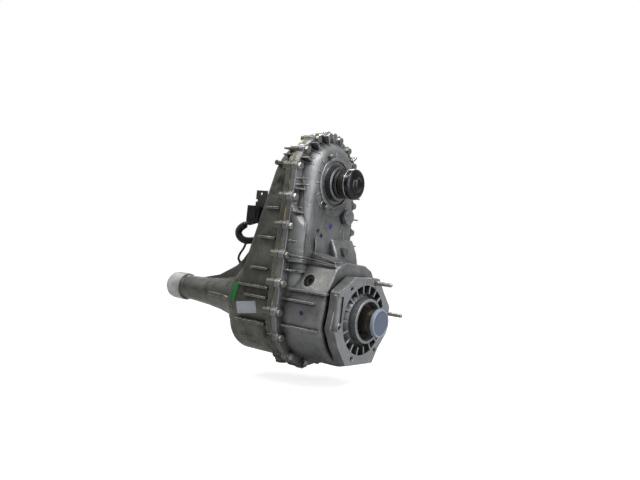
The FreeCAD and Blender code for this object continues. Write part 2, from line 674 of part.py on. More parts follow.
def oil_pump_rotor():
    lobes_out = [rod(5.5, -255.6, -244, *polar(22, 60 * i)) for i in range(6)]
    return without(joined([rod(23.5, -255.6, -244)] + lobes_out), [rod(MAIN_R, -260, -240)])


def oil_pickup_tube():
    start, end = at(PICKUP_X, 0, -40.2), at(PICKUP_X, 0, -76)
    return without(peg(5, start, end), [peg(3.5, start, end)])


def oil_strainer():
    return without(peg(15, at(PICKUP_X, 0, -84), at(PICKUP_X, 0, -76)),
                   [peg(3.5, at(PICKUP_X, 0, -80), at(PICKUP_X, 0, -70))])


def sump_magnet():
    bar = block(-190, -160, -9, 9, -97, -86)
    return bar.common(rod(LOWER_LOBE_R - FLANGE_LAND - WALL, -200, -150))


# ---- chain drive ---------------------------------------------------------------------------------
def sprocket(y, z, first, bore_r):
    """A silent-chain sprocket; first is the angle of a tooth gap's middle, in degrees."""
    step = 360.0 / SPROCKET_TEETH
    root_r, tip_r, root_half, tip_half = SPROCKET_R - 5.7, SPROCKET_R - 0.1, 1.75, 2.95
    points = []
    for i in range(SPROCKET_TEETH):
        middle = first + i * step
        root_a, tip_a = math.degrees(root_half / root_r), math.degrees(tip_half / tip_r)
        for r, a in ((tip_r, -tip_a), (root_r, -root_a), (root_r, root_a), (tip_r, tip_a)):
            points.append(polar(r, middle + a, z))
    body = plate(points, CHAIN_BACK_X, CHAIN_FRONT_X)
    return without(body, [rod(bore_r, CHAIN_BACK_X - 1, CHAIN_FRONT_X + 1, y, z)])


def chain_station(s):
    """A point on the chain's pitch line with its outward direction; s runs from the lower right."""
    half_turn = SPROCKET_TEETH * CHAIN_PITCH / 2
    strand = CHAIN_LINKS * CHAIN_PITCH / 2 - half_turn
    if s < half_turn:
        a = -math.pi * s / half_turn
        return SPROCKET_R * math.cos(a), SPROCKET_R * math.sin(a), a
    if s < half_turn + strand:
        return -SPROCKET_R, s - half_turn, math.pi
    if s < 2 * half_turn + strand:
        a = math.pi - math.pi * (s - half_turn - strand) / half_turn
        return SPROCKET_R * math.cos(a), CENTRE_DISTANCE + SPROCKET_R * math.sin(a), a
    return SPROCKET_R, CENTRE_DISTANCE - (s - 2 * half_turn - strand), 0.0


def drive_chain():
    """A silent chain: a band of link plates with one inward tooth to each pitch."""
    inner = []
    for i in range(CHAIN_LINKS):
        y, z, a = chain_station(i * CHAIN_PITCH)
        out_y, out_z = math.cos(a), math.sin(a)
        for along, out in ((-2.5, 4.0), (-1.3, 0.3), (1.3, 0.3), (2.5, 4.0)):
            inner.append((y + out * out_y + along * out_z, z + out * out_z - along * out_y))
    back = lobes(SPROCKET_R + 7, SPROCKET_R + 7.0001, CHAIN_BACK_X + 1, CHAIN_FRONT_X - 1)
    return without(back, [plate(inner, CHAIN_BACK_X, CHAIN_FRONT_X)])


def drive_sprocket():
    return sprocket(0, 0, 0, 24 + RUNNING)


def driven_sprocket():
    return sprocket(0, CENTRE_DISTANCE, 5, 20)


# ---- front output --------------------------------------------------------------------------------
def front_output_shaft():
    body = turned([(-188, 0), (-188, 15), (-170, 15), (-170, 20), (-136, 20), (-136, 27), (-118, 27),
                   (-118, 25), (-91, 25), (-91, FRONT_OUTPUT_R), (-62, FRONT_OUTPUT_R), (-62, 15.5),
                   (-63, 14), (-130, 14), (-130, 0)], 0, CENTRE_DISTANCE)
    return without(body, spline_grooves(14, 1.8, 20, -126, -61, 0, CENTRE_DISTANCE))


def dust_deflector():
    """A pressed steel ring on the output shaft, in front of the seal."""
    return turned([(-91, FRONT_OUTPUT_R), (-91, 30), (-92.5, 34), (-91.5, 34.6), (-89.6, 30.5),
                   (-89.6, FRONT_OUTPUT_R)], 0, CENTRE_DISTANCE)


def dust_boot():
    """A ribbed rubber boot over the output shaft."""
    outside = [(-88, 25.5), (-85, 27), (-83, 27.5), (-82, 25.8), (-80, 25.8), (-78, 28.6), (-75, 29), (-74, 27),
               (-72, 27), (-70, 29.6), (-66, 30), (-64, 29), (-62.5, 28)]
    inside = [(-62.5, 24.5), (-80, 24.5), (-82, FRONT_OUTPUT_R), (-88, FRONT_OUTPUT_R)]
    return turned(outside + inside, 0, CENTRE_DISTANCE)


def front_output_cap():
    """A moulded shipping cap over the end of the boot."""
    outside = [(-61.8, 27.5), (-61.8, 30), (-60, 30.6), (-56.5, 30.6), (-56, 29.4), (-48, 29), (-46.8, 27.5), (-46.5, 17),
               (-45, 16), (-43.2, 15), (-42.5, 12), (-42.5, 0)]
    inside = [(-45.5, 0), (-45.5, 10), (-48.5, 13), (-49, 26), (-58, 27)]
    return turned(outside + inside, 0, CENTRE_DISTANCE)


# ---- shift mechanism -----------------------------------------------------------------------------
FOLLOWER_X = -122.0


def shift_rail():
    return rod(RAIL_R, -236, -97, RAIL_Y, RAIL_Z)


def shift_shaft():
    return joined([rod(8, -262, -81, SHIFT_Y, SHIFT_Z), rod(15, -146, -112, SHIFT_Y, SHIFT_Z)])


def cam_groove():
    """The helical groove of the shift cam, as a row of overlapping cutters along the helix."""
    to_fork = math.degrees(math.atan2(RAIL_Z - SHIFT_Z, RAIL_Y - SHIFT_Y))
    cutters, steps = [], 20
    for i in range(steps + 1):
        share = i / steps
        x = FOLLOWER_X - SHIFT_STROKE * share
        a = to_fork - SHIFT_TURN * share
        y0, z0 = polar(10.5, a)
        y1, z1 = polar(17, a)
        cutters.append(peg(3.6, at(x, SHIFT_Y + y0, SHIFT_Z + z0), at(x, SHIFT_Y + y1, SHIFT_Z + z1)))
    return cutters


def shift_cam():
    return without(shift_shaft(), cam_groove())


def range_fork():
    """The fork that moves the range collar, with the follower pin that runs in the cam."""
    hub = tube(13, RAIL_R + RUNNING, -135, -113, RAIL_Y, RAIL_Z)
    jaw = tube(50, 41.8, -117, -111).common(block(-120, -100, -60, 60, 0, 60))
    pads = tube(44, 34.6, -117, -111).common(joined([block(-120, -100, -50, -30, 0, 14),
                                                      block(-120, -100, 30, 50, 0, 14)]))
    arm = plate([(-24, 92), (-4, 92), (14, 46), (-30, 42)], -117, -113.2)
    arm = without(arm, [rod(RAIL_R + 3, -140, -100, RAIL_Y, RAIL_Z), rod(43, -140, -100)])
    to_fork = math.degrees(math.atan2(RAIL_Z - SHIFT_Z, RAIL_Y - SHIFT_Y))
    tip = polar(11.2, to_fork)
    pin = peg(3, at(FOLLOWER_X, SHIFT_Y + tip[0], SHIFT_Z + tip[1]), at(FOLLOWER_X, RAIL_Y + 9.5, RAIL_Z + 8.4))
    return joined([hub, jaw, pads, arm, pin])


# ---- shift motor and wiring ------------------------------------------------------------------------
def shift_motor():
    """The gearbox on the case and the motor can above it, with three fixing ears and a plug socket."""
    front, back = MOTOR_FACE_X, MOTOR_FACE_X - 24
    link = plate([(8, 137), (10, 200), (81, 178), (52, 116)], back, front)
    box = joined([rod(24, back, front, SHIFT_Y, SHIFT_Z), rod(34, back, front, MOTOR_Y, MOTOR_Z), link])
    can = rounded(rod(29, MOTOR_END_X, back, MOTOR_Y, MOTOR_Z), MOTOR_END_X, 4)
    ears = [rod(8, front - 9, front, y, z) for y, z in MOTOR_BOLTS]
    outlet = rod(12, back - 6, back, SHIFT_Y, SHIFT_Z)
    sunk = [rod(7, back - 1, front - 9, y, z) for y, z in MOTOR_BOLTS]
    bores = [rod(3, front - 20, front + 1, y, z) for y, z in MOTOR_BOLTS]
    socket = rod(8 + RUNNING, front - 17, front + 1, SHIFT_Y, SHIFT_Z)
    return without(joined([box, can, outlet] + ears), [socket] + sunk + bores)


def connector_bracket():
    """A folded steel bracket from the motor's end plate to the connector."""
    upright = block(-316, -284, -2, 0, 166, 239)
    foot = block(MOTOR_END_X - 2, MOTOR_END_X, -2, 50, 172, 204)
    notch = block(-317, -311, -3, 1, 214, 219)
    hole = peg(2.8, at(-301, -3, 232), at(-301, 1, 232))
    return without(joined([upright, foot]), [notch, hole])


def harness_connector():
    shell = block(-319, -285, -23, -2, 168, 204)
    shell = shell.makeFillet(2, [e for e in shell.Edges if e.BoundBox.YLength > 10])
    ribs = [block(-321.5, -317, -20, -6, z, z + 5) for z in (173, 190)]
    latch = block(-310, -292, -25.5, -21, 177, 196)
    return joined([shell, latch] + ribs)


LOOM_R = 8.0
LEAD_R = 2.5
LOOM_ROUTE = [(-305, -12, 170), (-333, -14, 161), (-352, -14, 142), (-332, -11, 123), (-302, 8, 132),
              (-276, 30, 126)]
LEAD_ROUTE = [(-324, -9, 128), (-325, -11, 112), (-342, -10, 93), (-349.5, -3, 79), (-350, 12.14, 72.75)]


def corner_arc(before, corner, after, name):
    """The two ends and the middle of the arc that rounds one corner of a route."""
    into, out = corner - before, after - corner
    turn = into.getAngle(out)
    shorter = min(into.Length, out.Length)
    radius = 0.45 * shorter / math.tan(turn / 2)
    print(name, "bend radius", round(radius, 1))
    start = corner - into.normalize() * (0.45 * shorter)
    end = corner + out.normalize() * (0.45 * shorter)
    inward = ((start + end) * 0.5 - corner).normalize()
    centre = corner + inward * (radius / math.cos(turn / 2))
    return start, centre - inward * radius, end


def swept_tube(route, r, name):
    """A round tube along straight runs joined by tangent arcs."""
    points = [at(*p) for p in route]
    edges, last = [], points[0]
    for before, corner, after in zip(points, points[1:], points[2:]):
        start, middle, end = corner_arc(before, corner, after, name)
        edges.append(Part.LineSegment(last, start).toShape())
        edges.append(Part.Arc(start, middle, end).toShape())
        last = end
    edges.append(Part.LineSegment(last, points[-1]).toShape())
    path = Part.Wire(edges)
    section = Part.Wire([Part.Circle(points[0], points[1] - points[0], r).toShape()])
    body = path.makePipeShell([section], True, False)
    print(name, "volume", round(body.Volume), "section times length", round(math.pi * r * r * path.Length))
    return body


def wiring_loom():
    return swept_tube(LOOM_ROUTE, LOOM_R, "wiring_loom")


def sensor_lead():
    return swept_tube(LEAD_ROUTE, LEAD_R, "sensor_lead")


def speed_sensor():
    """A plug-in sensor whose tip stands just over the tone wheel, with a side outlet for its lead."""
    body = peg(8, sensor_point(TONE_WHEEL_R + 0.8), sensor_point(62))
    head = peg(11, sensor_point(62), sensor_point(79))
    outlet = peg(5, sensor_point(72), sensor_point(72, 16))
    return joined([body, head, outlet])


# ---- shipping covers -----------------------------------------------------------------------------
def input_cap():
    """A moulded plastic cap pressed over the end of the input shaft."""
    lip, front = INPUT_END_X - 2.5, 40.0
    return turned([(lip, INPUT_R + 0.3), (lip, 27.8), (front - 1, 27.2), (front, 26.4), (front, 24.2), (front - 1.2, 23.4),
                   (front - 1.2, 0), (front - 3, 0), (front - 3, 23), (INPUT_END_X, 24), (INPUT_END_X, INPUT_R + 0.3)])


def tail_plug():
    """A moulded cover over the seal end of the tail."""
    lip, back = -508.0, -556.0
    inside_r = TAIL_END_R + 0.4
    return turned([(lip, inside_r), (lip, 31.4), (-540, 31.1), (-549, 29.5), (-554, 26), (back, 20), (back, 0),
                   (-553.5, 0), (-553.5, 24.5), (-541, inside_r)])


NODES = {
    "front_case": front_case, "rear_case": rear_case, "case_bolts": case_bolts, "dowel_pins": dowel_pins,
    "adapter_studs": adapter_studs, "retainer_bolts": retainer_bolts, "motor_bolts": motor_bolts,
    "fill_plug": fill_plug, "drain_plug": drain_plug, "vent_tube": vent_tube,
    "input_bearing": lambda: bearing(40, INPUT_R + RUNNING, -32, -14),
    "input_seal": lambda: seal(COLLAR_BORE_R, INPUT_R, -12, -2),
    "front_output_bearings": front_output_bearings,
    "front_output_seal": lambda: seal(36, 25, -101, -94, 0, CENTRE_DISTANCE),
    "main_rear_bearing": lambda: bearing(40, 22.5 + RUNNING, -242, -224),
    "tail_bushing": lambda: tube(BUSHING_R, YOKE_R + RUNNING, -530, -502),
    "tail_seal": lambda: seal(TAIL_SEAL_R, YOKE_R, TAIL_END_X, -531),
    "ring_gear": ring_gear, "input_shaft": input_shaft, "sun_gear": sun_gear, "pilot_bearing": pilot_bearing,
    "planet_carrier": planet_carrier, "planet_pins": planet_pins, "thrust_washers": thrust_washers,
    "main_shaft": main_shaft, "range_collar": range_collar, "clutch_hub": clutch_hub,
    "clutch_drum": clutch_drum, "friction_plates": lambda: clutch_plates(39, 57, 0),
    "steel_plates": lambda: clutch_plates(36, 54, 1), "ball_ramp": ball_ramp, "clutch_coil": clutch_coil,
    "tone_wheel": tone_wheel, "oil_pump_housing": oil_pump_housing, "oil_pump_rotor": oil_pump_rotor,
    "oil_pickup_tube": oil_pickup_tube, "oil_strainer": oil_strainer, "sump_magnet": sump_magnet,
    "drive_sprocket": drive_sprocket, "driven_sprocket": driven_sprocket, "drive_chain": drive_chain,
    "front_output_shaft": front_output_shaft, "dust_deflector": dust_deflector, "dust_boot": dust_boot,
    "front_output_cap": front_output_cap, "shift_rail": shift_rail,
    "shift_cam": shift_cam, "range_fork": range_fork, "shift_motor": shift_motor,
    "connector_bracket": connector_bracket, "harness_connector": harness_connector,
    "wiring_loom": wiring_loom, "sensor_lead": sensor_lead, "speed_sensor": speed_sensor,
    "input_cap": input_cap, "tail_plug": tail_plug,
}
NODES.update({"planet_gear_%d" % (i + 1): (lambda a=a: planet_gear(a)) for i, a in enumerate(PLANET_ANGLES)})


def write_nodes():
    os.makedirs("parts", exist_ok=True)
    for name, make in NODES.items():
        made = make()
        solids = [s for piece in (made if isinstance(made, list) else [made]) for s in piece.Solids]
        shape = solids[0] if len(solids) == 1 else Part.makeCompound(solids)
        shape.exportStep("parts/%s.step" % name)
        print(name, len(solids), "solids", "valid" if shape.isValid() else "NOT VALID")


write_nodes()
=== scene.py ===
import json
import math
import random

import bmesh
import bpy
from mathutils import Matrix, Vector
from mathutils.bvhtree import BVHTree


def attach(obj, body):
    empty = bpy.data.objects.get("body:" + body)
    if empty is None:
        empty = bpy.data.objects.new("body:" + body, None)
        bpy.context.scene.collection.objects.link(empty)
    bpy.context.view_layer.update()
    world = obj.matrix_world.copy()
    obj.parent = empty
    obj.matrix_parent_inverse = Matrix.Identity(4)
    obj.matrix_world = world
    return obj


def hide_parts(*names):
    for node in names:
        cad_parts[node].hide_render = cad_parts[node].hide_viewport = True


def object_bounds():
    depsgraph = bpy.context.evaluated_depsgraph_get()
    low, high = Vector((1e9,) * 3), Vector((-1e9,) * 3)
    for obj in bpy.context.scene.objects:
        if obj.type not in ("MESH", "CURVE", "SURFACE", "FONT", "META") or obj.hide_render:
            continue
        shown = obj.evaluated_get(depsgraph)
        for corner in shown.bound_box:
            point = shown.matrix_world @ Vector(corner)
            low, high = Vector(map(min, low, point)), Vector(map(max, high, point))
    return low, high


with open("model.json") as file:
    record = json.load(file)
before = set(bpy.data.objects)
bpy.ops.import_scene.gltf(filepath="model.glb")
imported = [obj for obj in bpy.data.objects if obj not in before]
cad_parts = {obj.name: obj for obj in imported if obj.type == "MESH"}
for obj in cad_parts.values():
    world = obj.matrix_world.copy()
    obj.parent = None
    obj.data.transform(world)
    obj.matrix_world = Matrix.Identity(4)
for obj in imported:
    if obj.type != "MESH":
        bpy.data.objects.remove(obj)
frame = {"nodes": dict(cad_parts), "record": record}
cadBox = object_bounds()
nodes = frame["nodes"]
print("frame loaded")

# the sizes that several pieces share, in metres
chainPitch = 0.009525
chainLinks = 91
sprocketTeeth = 36
centreDistance = (chainLinks - sprocketTeeth) * chainPitch / 2
partingX = -0.140
chainFaceX = -0.104
lowerLobe = 0.113
upperLobe = 0.099
mergeDistance = 1e-6
unitRadius = 0.001   # the tube radius that a curve point radius of 1 stands for

cameraLook = {"lens": 39.375, "sensor": 36, "clipEnd": 20, "place": (0.75063, -1.13121, 0.15556),
              "forward": (-0.6132, 0.7899, -0.0072), "upward": (-0.0885, -0.0596, 0.9943)}
forward = Vector(cameraLook["forward"]).normalized()
upward = Vector(cameraLook["upward"]).normalized()


def makeCamera():
    lens = bpy.data.cameras.new("camera")
    lens.lens = cameraLook["lens"]
    lens.sensor_width = cameraLook["sensor"]
    lens.clip_end = cameraLook["clipEnd"]
    camera = linkObject("camera", lens)
    rightward = forward.cross(upward).normalized()
    upright = rightward.cross(forward).normalized()
    turn = Matrix((rightward, upright, -forward)).transposed().to_4x4()
    camera.matrix_world = Matrix.Translation(cameraLook["place"]) @ turn
    bpy.context.scene.camera = camera
    bpy.context.scene.view_settings.view_transform = "Standard"


def linkObject(name, data):
    piece = bpy.data.objects.new(name, data)
    bpy.context.scene.collection.objects.link(piece)
    return piece


makeCamera()
print("camera done")


def fromBmesh(name, mesh, smooth=True, sharp=0.6):
    # an object from a finished mesh; edges that fold more than sharp radians stay crisp
    bmesh.ops.recalc_face_normals(mesh, faces=mesh.faces)
    for edge in mesh.edges:
        if len(edge.link_faces) == 2 and edge.calc_face_angle() > sharp:
            edge.smooth = False
    data = bpy.data.meshes.new(name)
    mesh.to_mesh(data)
    mesh.free()
    for face in data.polygons:
        face.use_smooth = smooth
    return linkObject(name, data)


def setUp(piece, material, body):
    piece.data.materials.append(material)
    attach(piece, body)
    return piece


def basis(direction):
    # two unit vectors across a direction
    axis = Vector(direction).normalized()
    side = axis.cross(Vector((0, 0, 1)))
    if side.length < 0.1:
        side = axis.cross(Vector((0, 1, 0)))
    side.normalize()
    return side, axis.cross(side)


def lathe(name, profile, origin, axis=(1, 0, 0), steps=64):
    # a turned piece: (distance along axis, radius) points spun right round
    axis = Vector(axis).normalized()
    side = basis(axis)[0]
    origin = Vector(origin)
    mesh = bmesh.new()
    verts = [mesh.verts.new(origin + axis * along + side * radius) for along, radius in profile]
    edges = [mesh.edges.new(pair) for pair in zip(verts, verts[1:])]
    bmesh.ops.spin(mesh, geom=verts + edges, cent=origin, axis=axis, angle=2 * math.pi, steps=steps,
                   use_merge=True)
    bmesh.ops.remove_doubles(mesh, verts=mesh.verts, dist=mergeDistance)
    return fromBmesh(name, mesh)


def pathLength(points):
    return sum((b - a).length for a, b in zip(points, points[1:]))


def smoothed(points, rounds):
    # each inner point is drawn towards its neighbours; the ends stay
    for _ in range(rounds):
        inner = [(a + b * 2 + c) / 4 for a, b, c in zip(points, points[1:], points[2:])]
        points = points[:1] + inner + points[-1:]
    return points


def evenly(points, count):
    # count places at equal distances along a line, from its first point on
    step = pathLength(points) / count
    places, travelled, i = [], 0.0, 0
    for k in range(count):
        wanted = k * step
        while travelled + (points[i + 1] - points[i]).length < wanted:
            travelled += (points[i + 1] - points[i]).length
            i += 1
        share = (wanted - travelled) / (points[i + 1] - points[i]).length
        places.append(points[i].lerp(points[i + 1], share))
    return places


def tapered(radius, total, end, start=None, least=0.1):
    # a tube's radius along its run, falling off over the lengths start and end
    def radiusAt(run):
        share = min(1.0, (total - run) / end)
        if start:
            share = min(share, run / start)
        return radius * max(least, share) ** 0.5

    return radiusAt


def alongPath(name, points, radiusAt, steps=16, capped=True):
    # a tube that follows points, with its own radius at each distance
    data = bpy.data.curves.new(name, "CURVE")
    data.dimensions = "3D"
    spline = data.splines.new("POLY")
    spline.points.add(len(points) - 1)
    run = 0.0
    for i, (knot, place) in enumerate(zip(spline.points, points)):
        if i:
            run += (place - points[i - 1]).length
        knot.co = (*place, 1)
        knot.radius = radiusAt(run) / unitRadius
    data.bevel_depth = unitRadius
    data.bevel_resolution = max(0, (steps - 4) // 2)
    data.use_fill_caps = capped
    curve = linkObject(name + "Line", data)
    mesh = bmesh.new()
    mesh.from_mesh(bpy.data.meshes.new_from_object(curve))
    bpy.data.objects.remove(curve)
    bmesh.ops.remove_doubles(mesh, verts=mesh.verts, dist=mergeDistance)
    return fromBmesh(name, mesh, True, 1.2)


def splineCurve(name, route, radius=0.0, order=3):
    data = bpy.data.curves.new(name, "CURVE")
    data.dimensions = "3D"
    spline = data.splines.new("NURBS")
    spline.points.add(len(route) - 1)
    for point, place in zip(spline.points, route):
        point.co = (*place, 1)
    spline.order_u = order
    spline.use_endpoint_u = True
    spline.resolution_u = 16
    data.resolution_u = 16
    data.bevel_depth = radius
    data.bevel_resolution = 5
    data.use_fill_caps = radius > 0
    return linkObject(name, data)


def splinePoints(route, spacing):
    # evenly spaced points read from the route's own smooth line
    curve = splineCurve("routeLine", route)
    curve.data.splines[0].resolution_u = 300
    line = bpy.data.meshes.new_from_object(curve)
    rough = [vertex.co.copy() for vertex in line.vertices]
    bpy.data.objects.remove(curve)
    total = pathLength(rough)
    return evenly(rough, max(2, round(total / spacing))) + [rough[-1]], total


def newGroup(name, inputs, outputs):
    group = bpy.data.node_groups.new(name, "ShaderNodeTree")
    for label, kind, value in inputs:
        socket = group.interface.new_socket(label, in_out="INPUT", socket_type=kind)
        socket.default_value = value
    for label, kind in outputs:
        group.interface.new_socket(label, in_out="OUTPUT", socket_type=kind)
    return group, group.nodes.new("NodeGroupInput"), group.nodes.new("NodeGroupOutput")


def noise(tree, source, scale, detail=4.0, rough=0.55):
    node = tree.nodes.new("ShaderNodeTexNoise")
    node.inputs["Scale"].default_value = scale
    node.inputs["Detail"].default_value = detail
    node.inputs["Roughness"].default_value = rough
    tree.links.new(source, node.inputs["Vector"])
    return node.outputs["Fac"]


def spread(tree, value, low, high, newLow=0.0, newHigh=1.0):
    node = tree.nodes.new("ShaderNodeMapRange")
    node.inputs["From Min"].default_value = low
    node.inputs["From Max"].default_value = high
    node.inputs["To Min"].default_value = newLow
    node.inputs["To Max"].default_value = newHigh
    tree.links.new(value, node.inputs["Value"])
    return node.outputs["Result"]


def calc(tree, how, first, second):
    node = tree.nodes.new("ShaderNodeMath")
    node.operation = how
    for i, value in enumerate((first, second)):
        if isinstance(value, (int, float)):
            node.inputs[i].default_value = value
        else:
            tree.links.new(value, node.inputs[i])
    return node.outputs[0]


def mixColour(tree, factor, first, second, how="MIX"):
    node = tree.nodes.new("ShaderNodeMix")
    node.data_type = "RGBA"
    node.blend_type = how
    for socket, value in (("Factor", factor), ("A", first), ("B", second)):
        target = [s for s in node.inputs if s.name == socket and s.enabled][0]
        if isinstance(value, (int, float)):
            target.default_value = value
        elif isinstance(value, tuple):
            target.default_value = value + (1,) if len(value) == 3 else value
        else:
            tree.links.new(value, target)
    return [s for s in node.outputs if s.name == "Result" and s.enabled][0]


def axisDistance(tree, split):
    # how far a place is from the input axis
    flat = tree.nodes.new("ShaderNodeCombineXYZ")
    tree.links.new(split.outputs["Y"], flat.inputs["Y"])
    tree.links.new(split.outputs["Z"], flat.inputs["Z"])
    radius = tree.nodes.new("ShaderNodeVectorMath")
    radius.operation = "LENGTH"
    tree.links.new(flat.outputs[0], radius.inputs[0])
    return radius.outputs["Value"]


def finishGroup(group, end, edge, colour, rough, height, depth, strength):
    # bumps the height over the rounded edges and fills the group's outputs
    bump = group.nodes.new("ShaderNodeBump")
    bump.inputs["Distance"].default_value = depth
    if isinstance(strength, float):
        bump.inputs["Strength"].default_value = strength
    else:
        group.links.new(strength, bump.inputs["Strength"])
    group.links.new(height, bump.inputs["Height"])
    group.links.new(edge.outputs["Normal"], bump.inputs["Normal"])
    group.links.new(colour, end.inputs["Color"])
    group.links.new(rough, end.inputs["Roughness"])
    group.links.new(bump.outputs["Normal"], end.inputs["Normal"])
    return group


def hollows(group, reach, samples, low, high, newLow, newHigh):
    # shade that depends on how closed in a place is
    node = group.nodes.new("ShaderNodeAmbientOcclusion")
    node.samples = samples
    node.inputs["Distance"].default_value = reach
    return spread(group, node.outputs["AO"], low, high, newLow, newHigh)


def nearness(tree, place, spot, radius, ragged=0.4):
    # 1 at a spot on the object, falling to 0 at a ragged edge around it
    node = tree.nodes.new("ShaderNodeVectorMath")
    node.operation = "DISTANCE"
    node.inputs[1].default_value = spot
    tree.links.new(place, node.inputs[0])
    rough = spread(tree, noise(tree, place, 260, 3), 0.3, 0.7, -ragged * radius, ragged * radius)
    return spread(tree, calc(tree, "ADD", node.outputs["Value"], rough), radius, radius * 0.75)


def edgeGlint(tree, radius):
    # rounded edge normals, and a mask that is 1 on those edges
    edge = tree.nodes.new("ShaderNodeBevel")
    edge.samples = 4
    edge.inputs["Radius"].default_value = radius
    plain = tree.nodes.new("ShaderNodeNewGeometry").outputs["Normal"]
    same = tree.nodes.new("ShaderNodeVectorMath")
    same.operation = "DOT_PRODUCT"
    tree.links.new(edge.outputs["Normal"], same.inputs[0])
    tree.links.new(plain, same.inputs[1])
    return edge, spread(tree, same.outputs["Value"], 0.995, 0.90)


castLook = {"metallic": 0.60, "broadScale": 11, "blotchScale": 48, "pitScale": 1500, "gritScale": 430,
            "stainScale": 17, "edgeRadius": 0.0016, "edgeScale": 75, "edgeGlintColour": (0.85, 0.85, 0.83),
            "dirtAndShadeReach": 0.020, "dirtAndShadeScale": 60, "roughScale": 70, "roughLow": 0.24, "roughHigh": 0.44,
            "waveScale": 90, "bumpDepth": 0.0009, "turnedDark": (0.22, 0.225, 0.24),
            "turnedLight": (0.44, 0.45, 0.47), "turnedScale": 900, "seamColour": (0.018, 0.016, 0.012),
            "seamHalf": 0.0018}


def castGroup():
    # sand-cast skin: mottled grey, crevices darkened with painted shade in the dirt colour, fine pits, edges
    # painted bright as a highlight and as rubbed wear
    look = castLook
    group, start, end = newGroup(
        "castSkin",
        [("Light", "NodeSocketColor", (0.5, 0.5, 0.5, 1)), ("Dark", "NodeSocketColor", (0.3, 0.3, 0.3, 1)),
         ("DirtAndShade", "NodeSocketColor", (0.05, 0.05, 0.045, 1)), ("Stain", "NodeSocketFloat", 0.5)],
        [("Color", "NodeSocketColor"), ("Roughness", "NodeSocketFloat"), ("Normal", "NodeSocketVector")],
    )
    place = group.nodes.new("ShaderNodeTexCoord").outputs["Object"]
    broad = spread(group, noise(group, place, look["broadScale"], 6, 0.62), 0.36, 0.64)
    blotch = spread(group, noise(group, place, look["blotchScale"], 6, 0.65), 0.42, 0.68)
    fine = noise(group, place, look["pitScale"], 3, 0.6)
    grit = noise(group, place, look["gritScale"], 4, 0.7)
    base = mixColour(group, broad, start.outputs["Dark"], start.outputs["Light"])
    base = mixColour(group, calc(group, "MULTIPLY", blotch, 0.4), base, start.outputs["Light"])
    base = mixColour(group, 1.0, base, spread(group, fine, 0.40, 0.62, 0.82, 1.10), "MULTIPLY")
    stain = spread(group, noise(group, place, look["stainScale"], 7, 0.7), 0.52, 0.66)
    stain = calc(group, "MULTIPLY", stain, start.outputs["Stain"])
    base = mixColour(group, stain, base, start.outputs["DirtAndShade"])
    # edges painted brighter towards a pale colour: a painted highlight, partly rubbed wear, broken up by
    # noise
    edge, glint = edgeGlint(group, look["edgeRadius"])
    broken = spread(group, noise(group, place, look["edgeScale"], 4), 0.35, 0.6, 0.30, 1.0)
    base = mixColour(group, calc(group, "MULTIPLY", glint, broken), base, look["edgeGlintColour"])
    # crevices darkened towards the dirt colour by an occlusion mask: painted shade, partly dirt, made patchy
    # by noise; the same mask also roughens them
    dirtAndShade = hollows(group, look["dirtAndShadeReach"], 6, 0.28, 0.93, 1.0, 0.0)
    patchy = spread(group, noise(group, place, look["dirtAndShadeScale"], 4, 0.6), 0.3, 0.6, 0.6, 1.0)
    dirtAndShade = calc(group, "MULTIPLY", dirtAndShade, patchy)
    base = mixColour(group, dirtAndShade, base, start.outputs["DirtAndShade"])
    rough = noise(group, place, look["roughScale"], 5, 0.6)
    rough = spread(group, rough, 0.3, 0.7, look["roughLow"], look["roughHigh"])
    rough = calc(group, "ADD", rough, calc(group, "MULTIPLY", dirtAndShade, 0.25))
    height = calc(group, "ADD", calc(group, "MULTIPLY", fine, 0.5), grit)
    wave = calc(group, "MULTIPLY", noise(group, place, look["waveScale"], 2), 1.8)
    height = calc(group, "ADD", height, wave)
    return finishGroup(group, end, edge, base, rough, height, look["bumpDepth"], 0.5)


wornAndShadedLook = {"fineScale": 900, "edgeRadius": 0.0005, "edgeGlintColour": (0.7, 0.7, 0.7), "hollowShadeReach": 0.004,
            "bumpDepth": 0.0004}


def wornAndShadedGroup():
    # a general surface: two-tone variation, fine bump, rounded edges painted brighter as a highlight,
    # painted shade in crevices
    look = wornAndShadedLook
    group, start, end = newGroup(
        "wornAndShadedSkin",
        [("Color", "NodeSocketColor", (0.5, 0.5, 0.5, 1)), ("Second", "NodeSocketColor", (0.3, 0.3, 0.3, 1)),
         ("Scale", "NodeSocketFloat", 60.0), ("Rough", "NodeSocketFloat", 0.4),
         ("Bump", "NodeSocketFloat", 0.15), ("Shine", "NodeSocketFloat", 0.3)],
        [("Color", "NodeSocketColor"), ("Roughness", "NodeSocketFloat"), ("Normal", "NodeSocketVector")],
    )
    place = group.nodes.new("ShaderNodeTexCoord").outputs["Object"]
    cloud = group.nodes.new("ShaderNodeTexNoise")
    cloud.inputs["Detail"].default_value = 5
    group.links.new(place, cloud.inputs["Vector"])
    group.links.new(start.outputs["Scale"], cloud.inputs["Scale"])
    factor = spread(group, cloud.outputs["Fac"], 0.35, 0.68)
    fine = noise(group, place, look["fineScale"], 4, 0.6)
    base = mixColour(group, factor, start.outputs["Color"], start.outputs["Second"])
    base = mixColour(group, 1.0, base, spread(group, fine, 0.35, 0.65, 0.88, 1.08), "MULTIPLY")
    # rounded edges painted brighter by the Shine share: a painted highlight
    edge, glint = edgeGlint(group, look["edgeRadius"])
    bright = mixColour(group, 0.6, base, look["edgeGlintColour"])
    base = mixColour(group, calc(group, "MULTIPLY", glint, start.outputs["Shine"]), base, bright)
    # crevices darkened by an occlusion mask: painted shade
    hollowShade = hollows(group, look["hollowShadeReach"], 4, 0.2, 0.8, 0.4, 1.0)
    base = mixColour(group, 1.0, base, hollowShade, "MULTIPLY")
    rough = calc(group, "ADD", start.outputs["Rough"], spread(group, factor, 0, 1, -0.06, 0.08))
    return finishGroup(group, end, edge, base, rough, fine, look["bumpDepth"], start.outputs["Bump"])


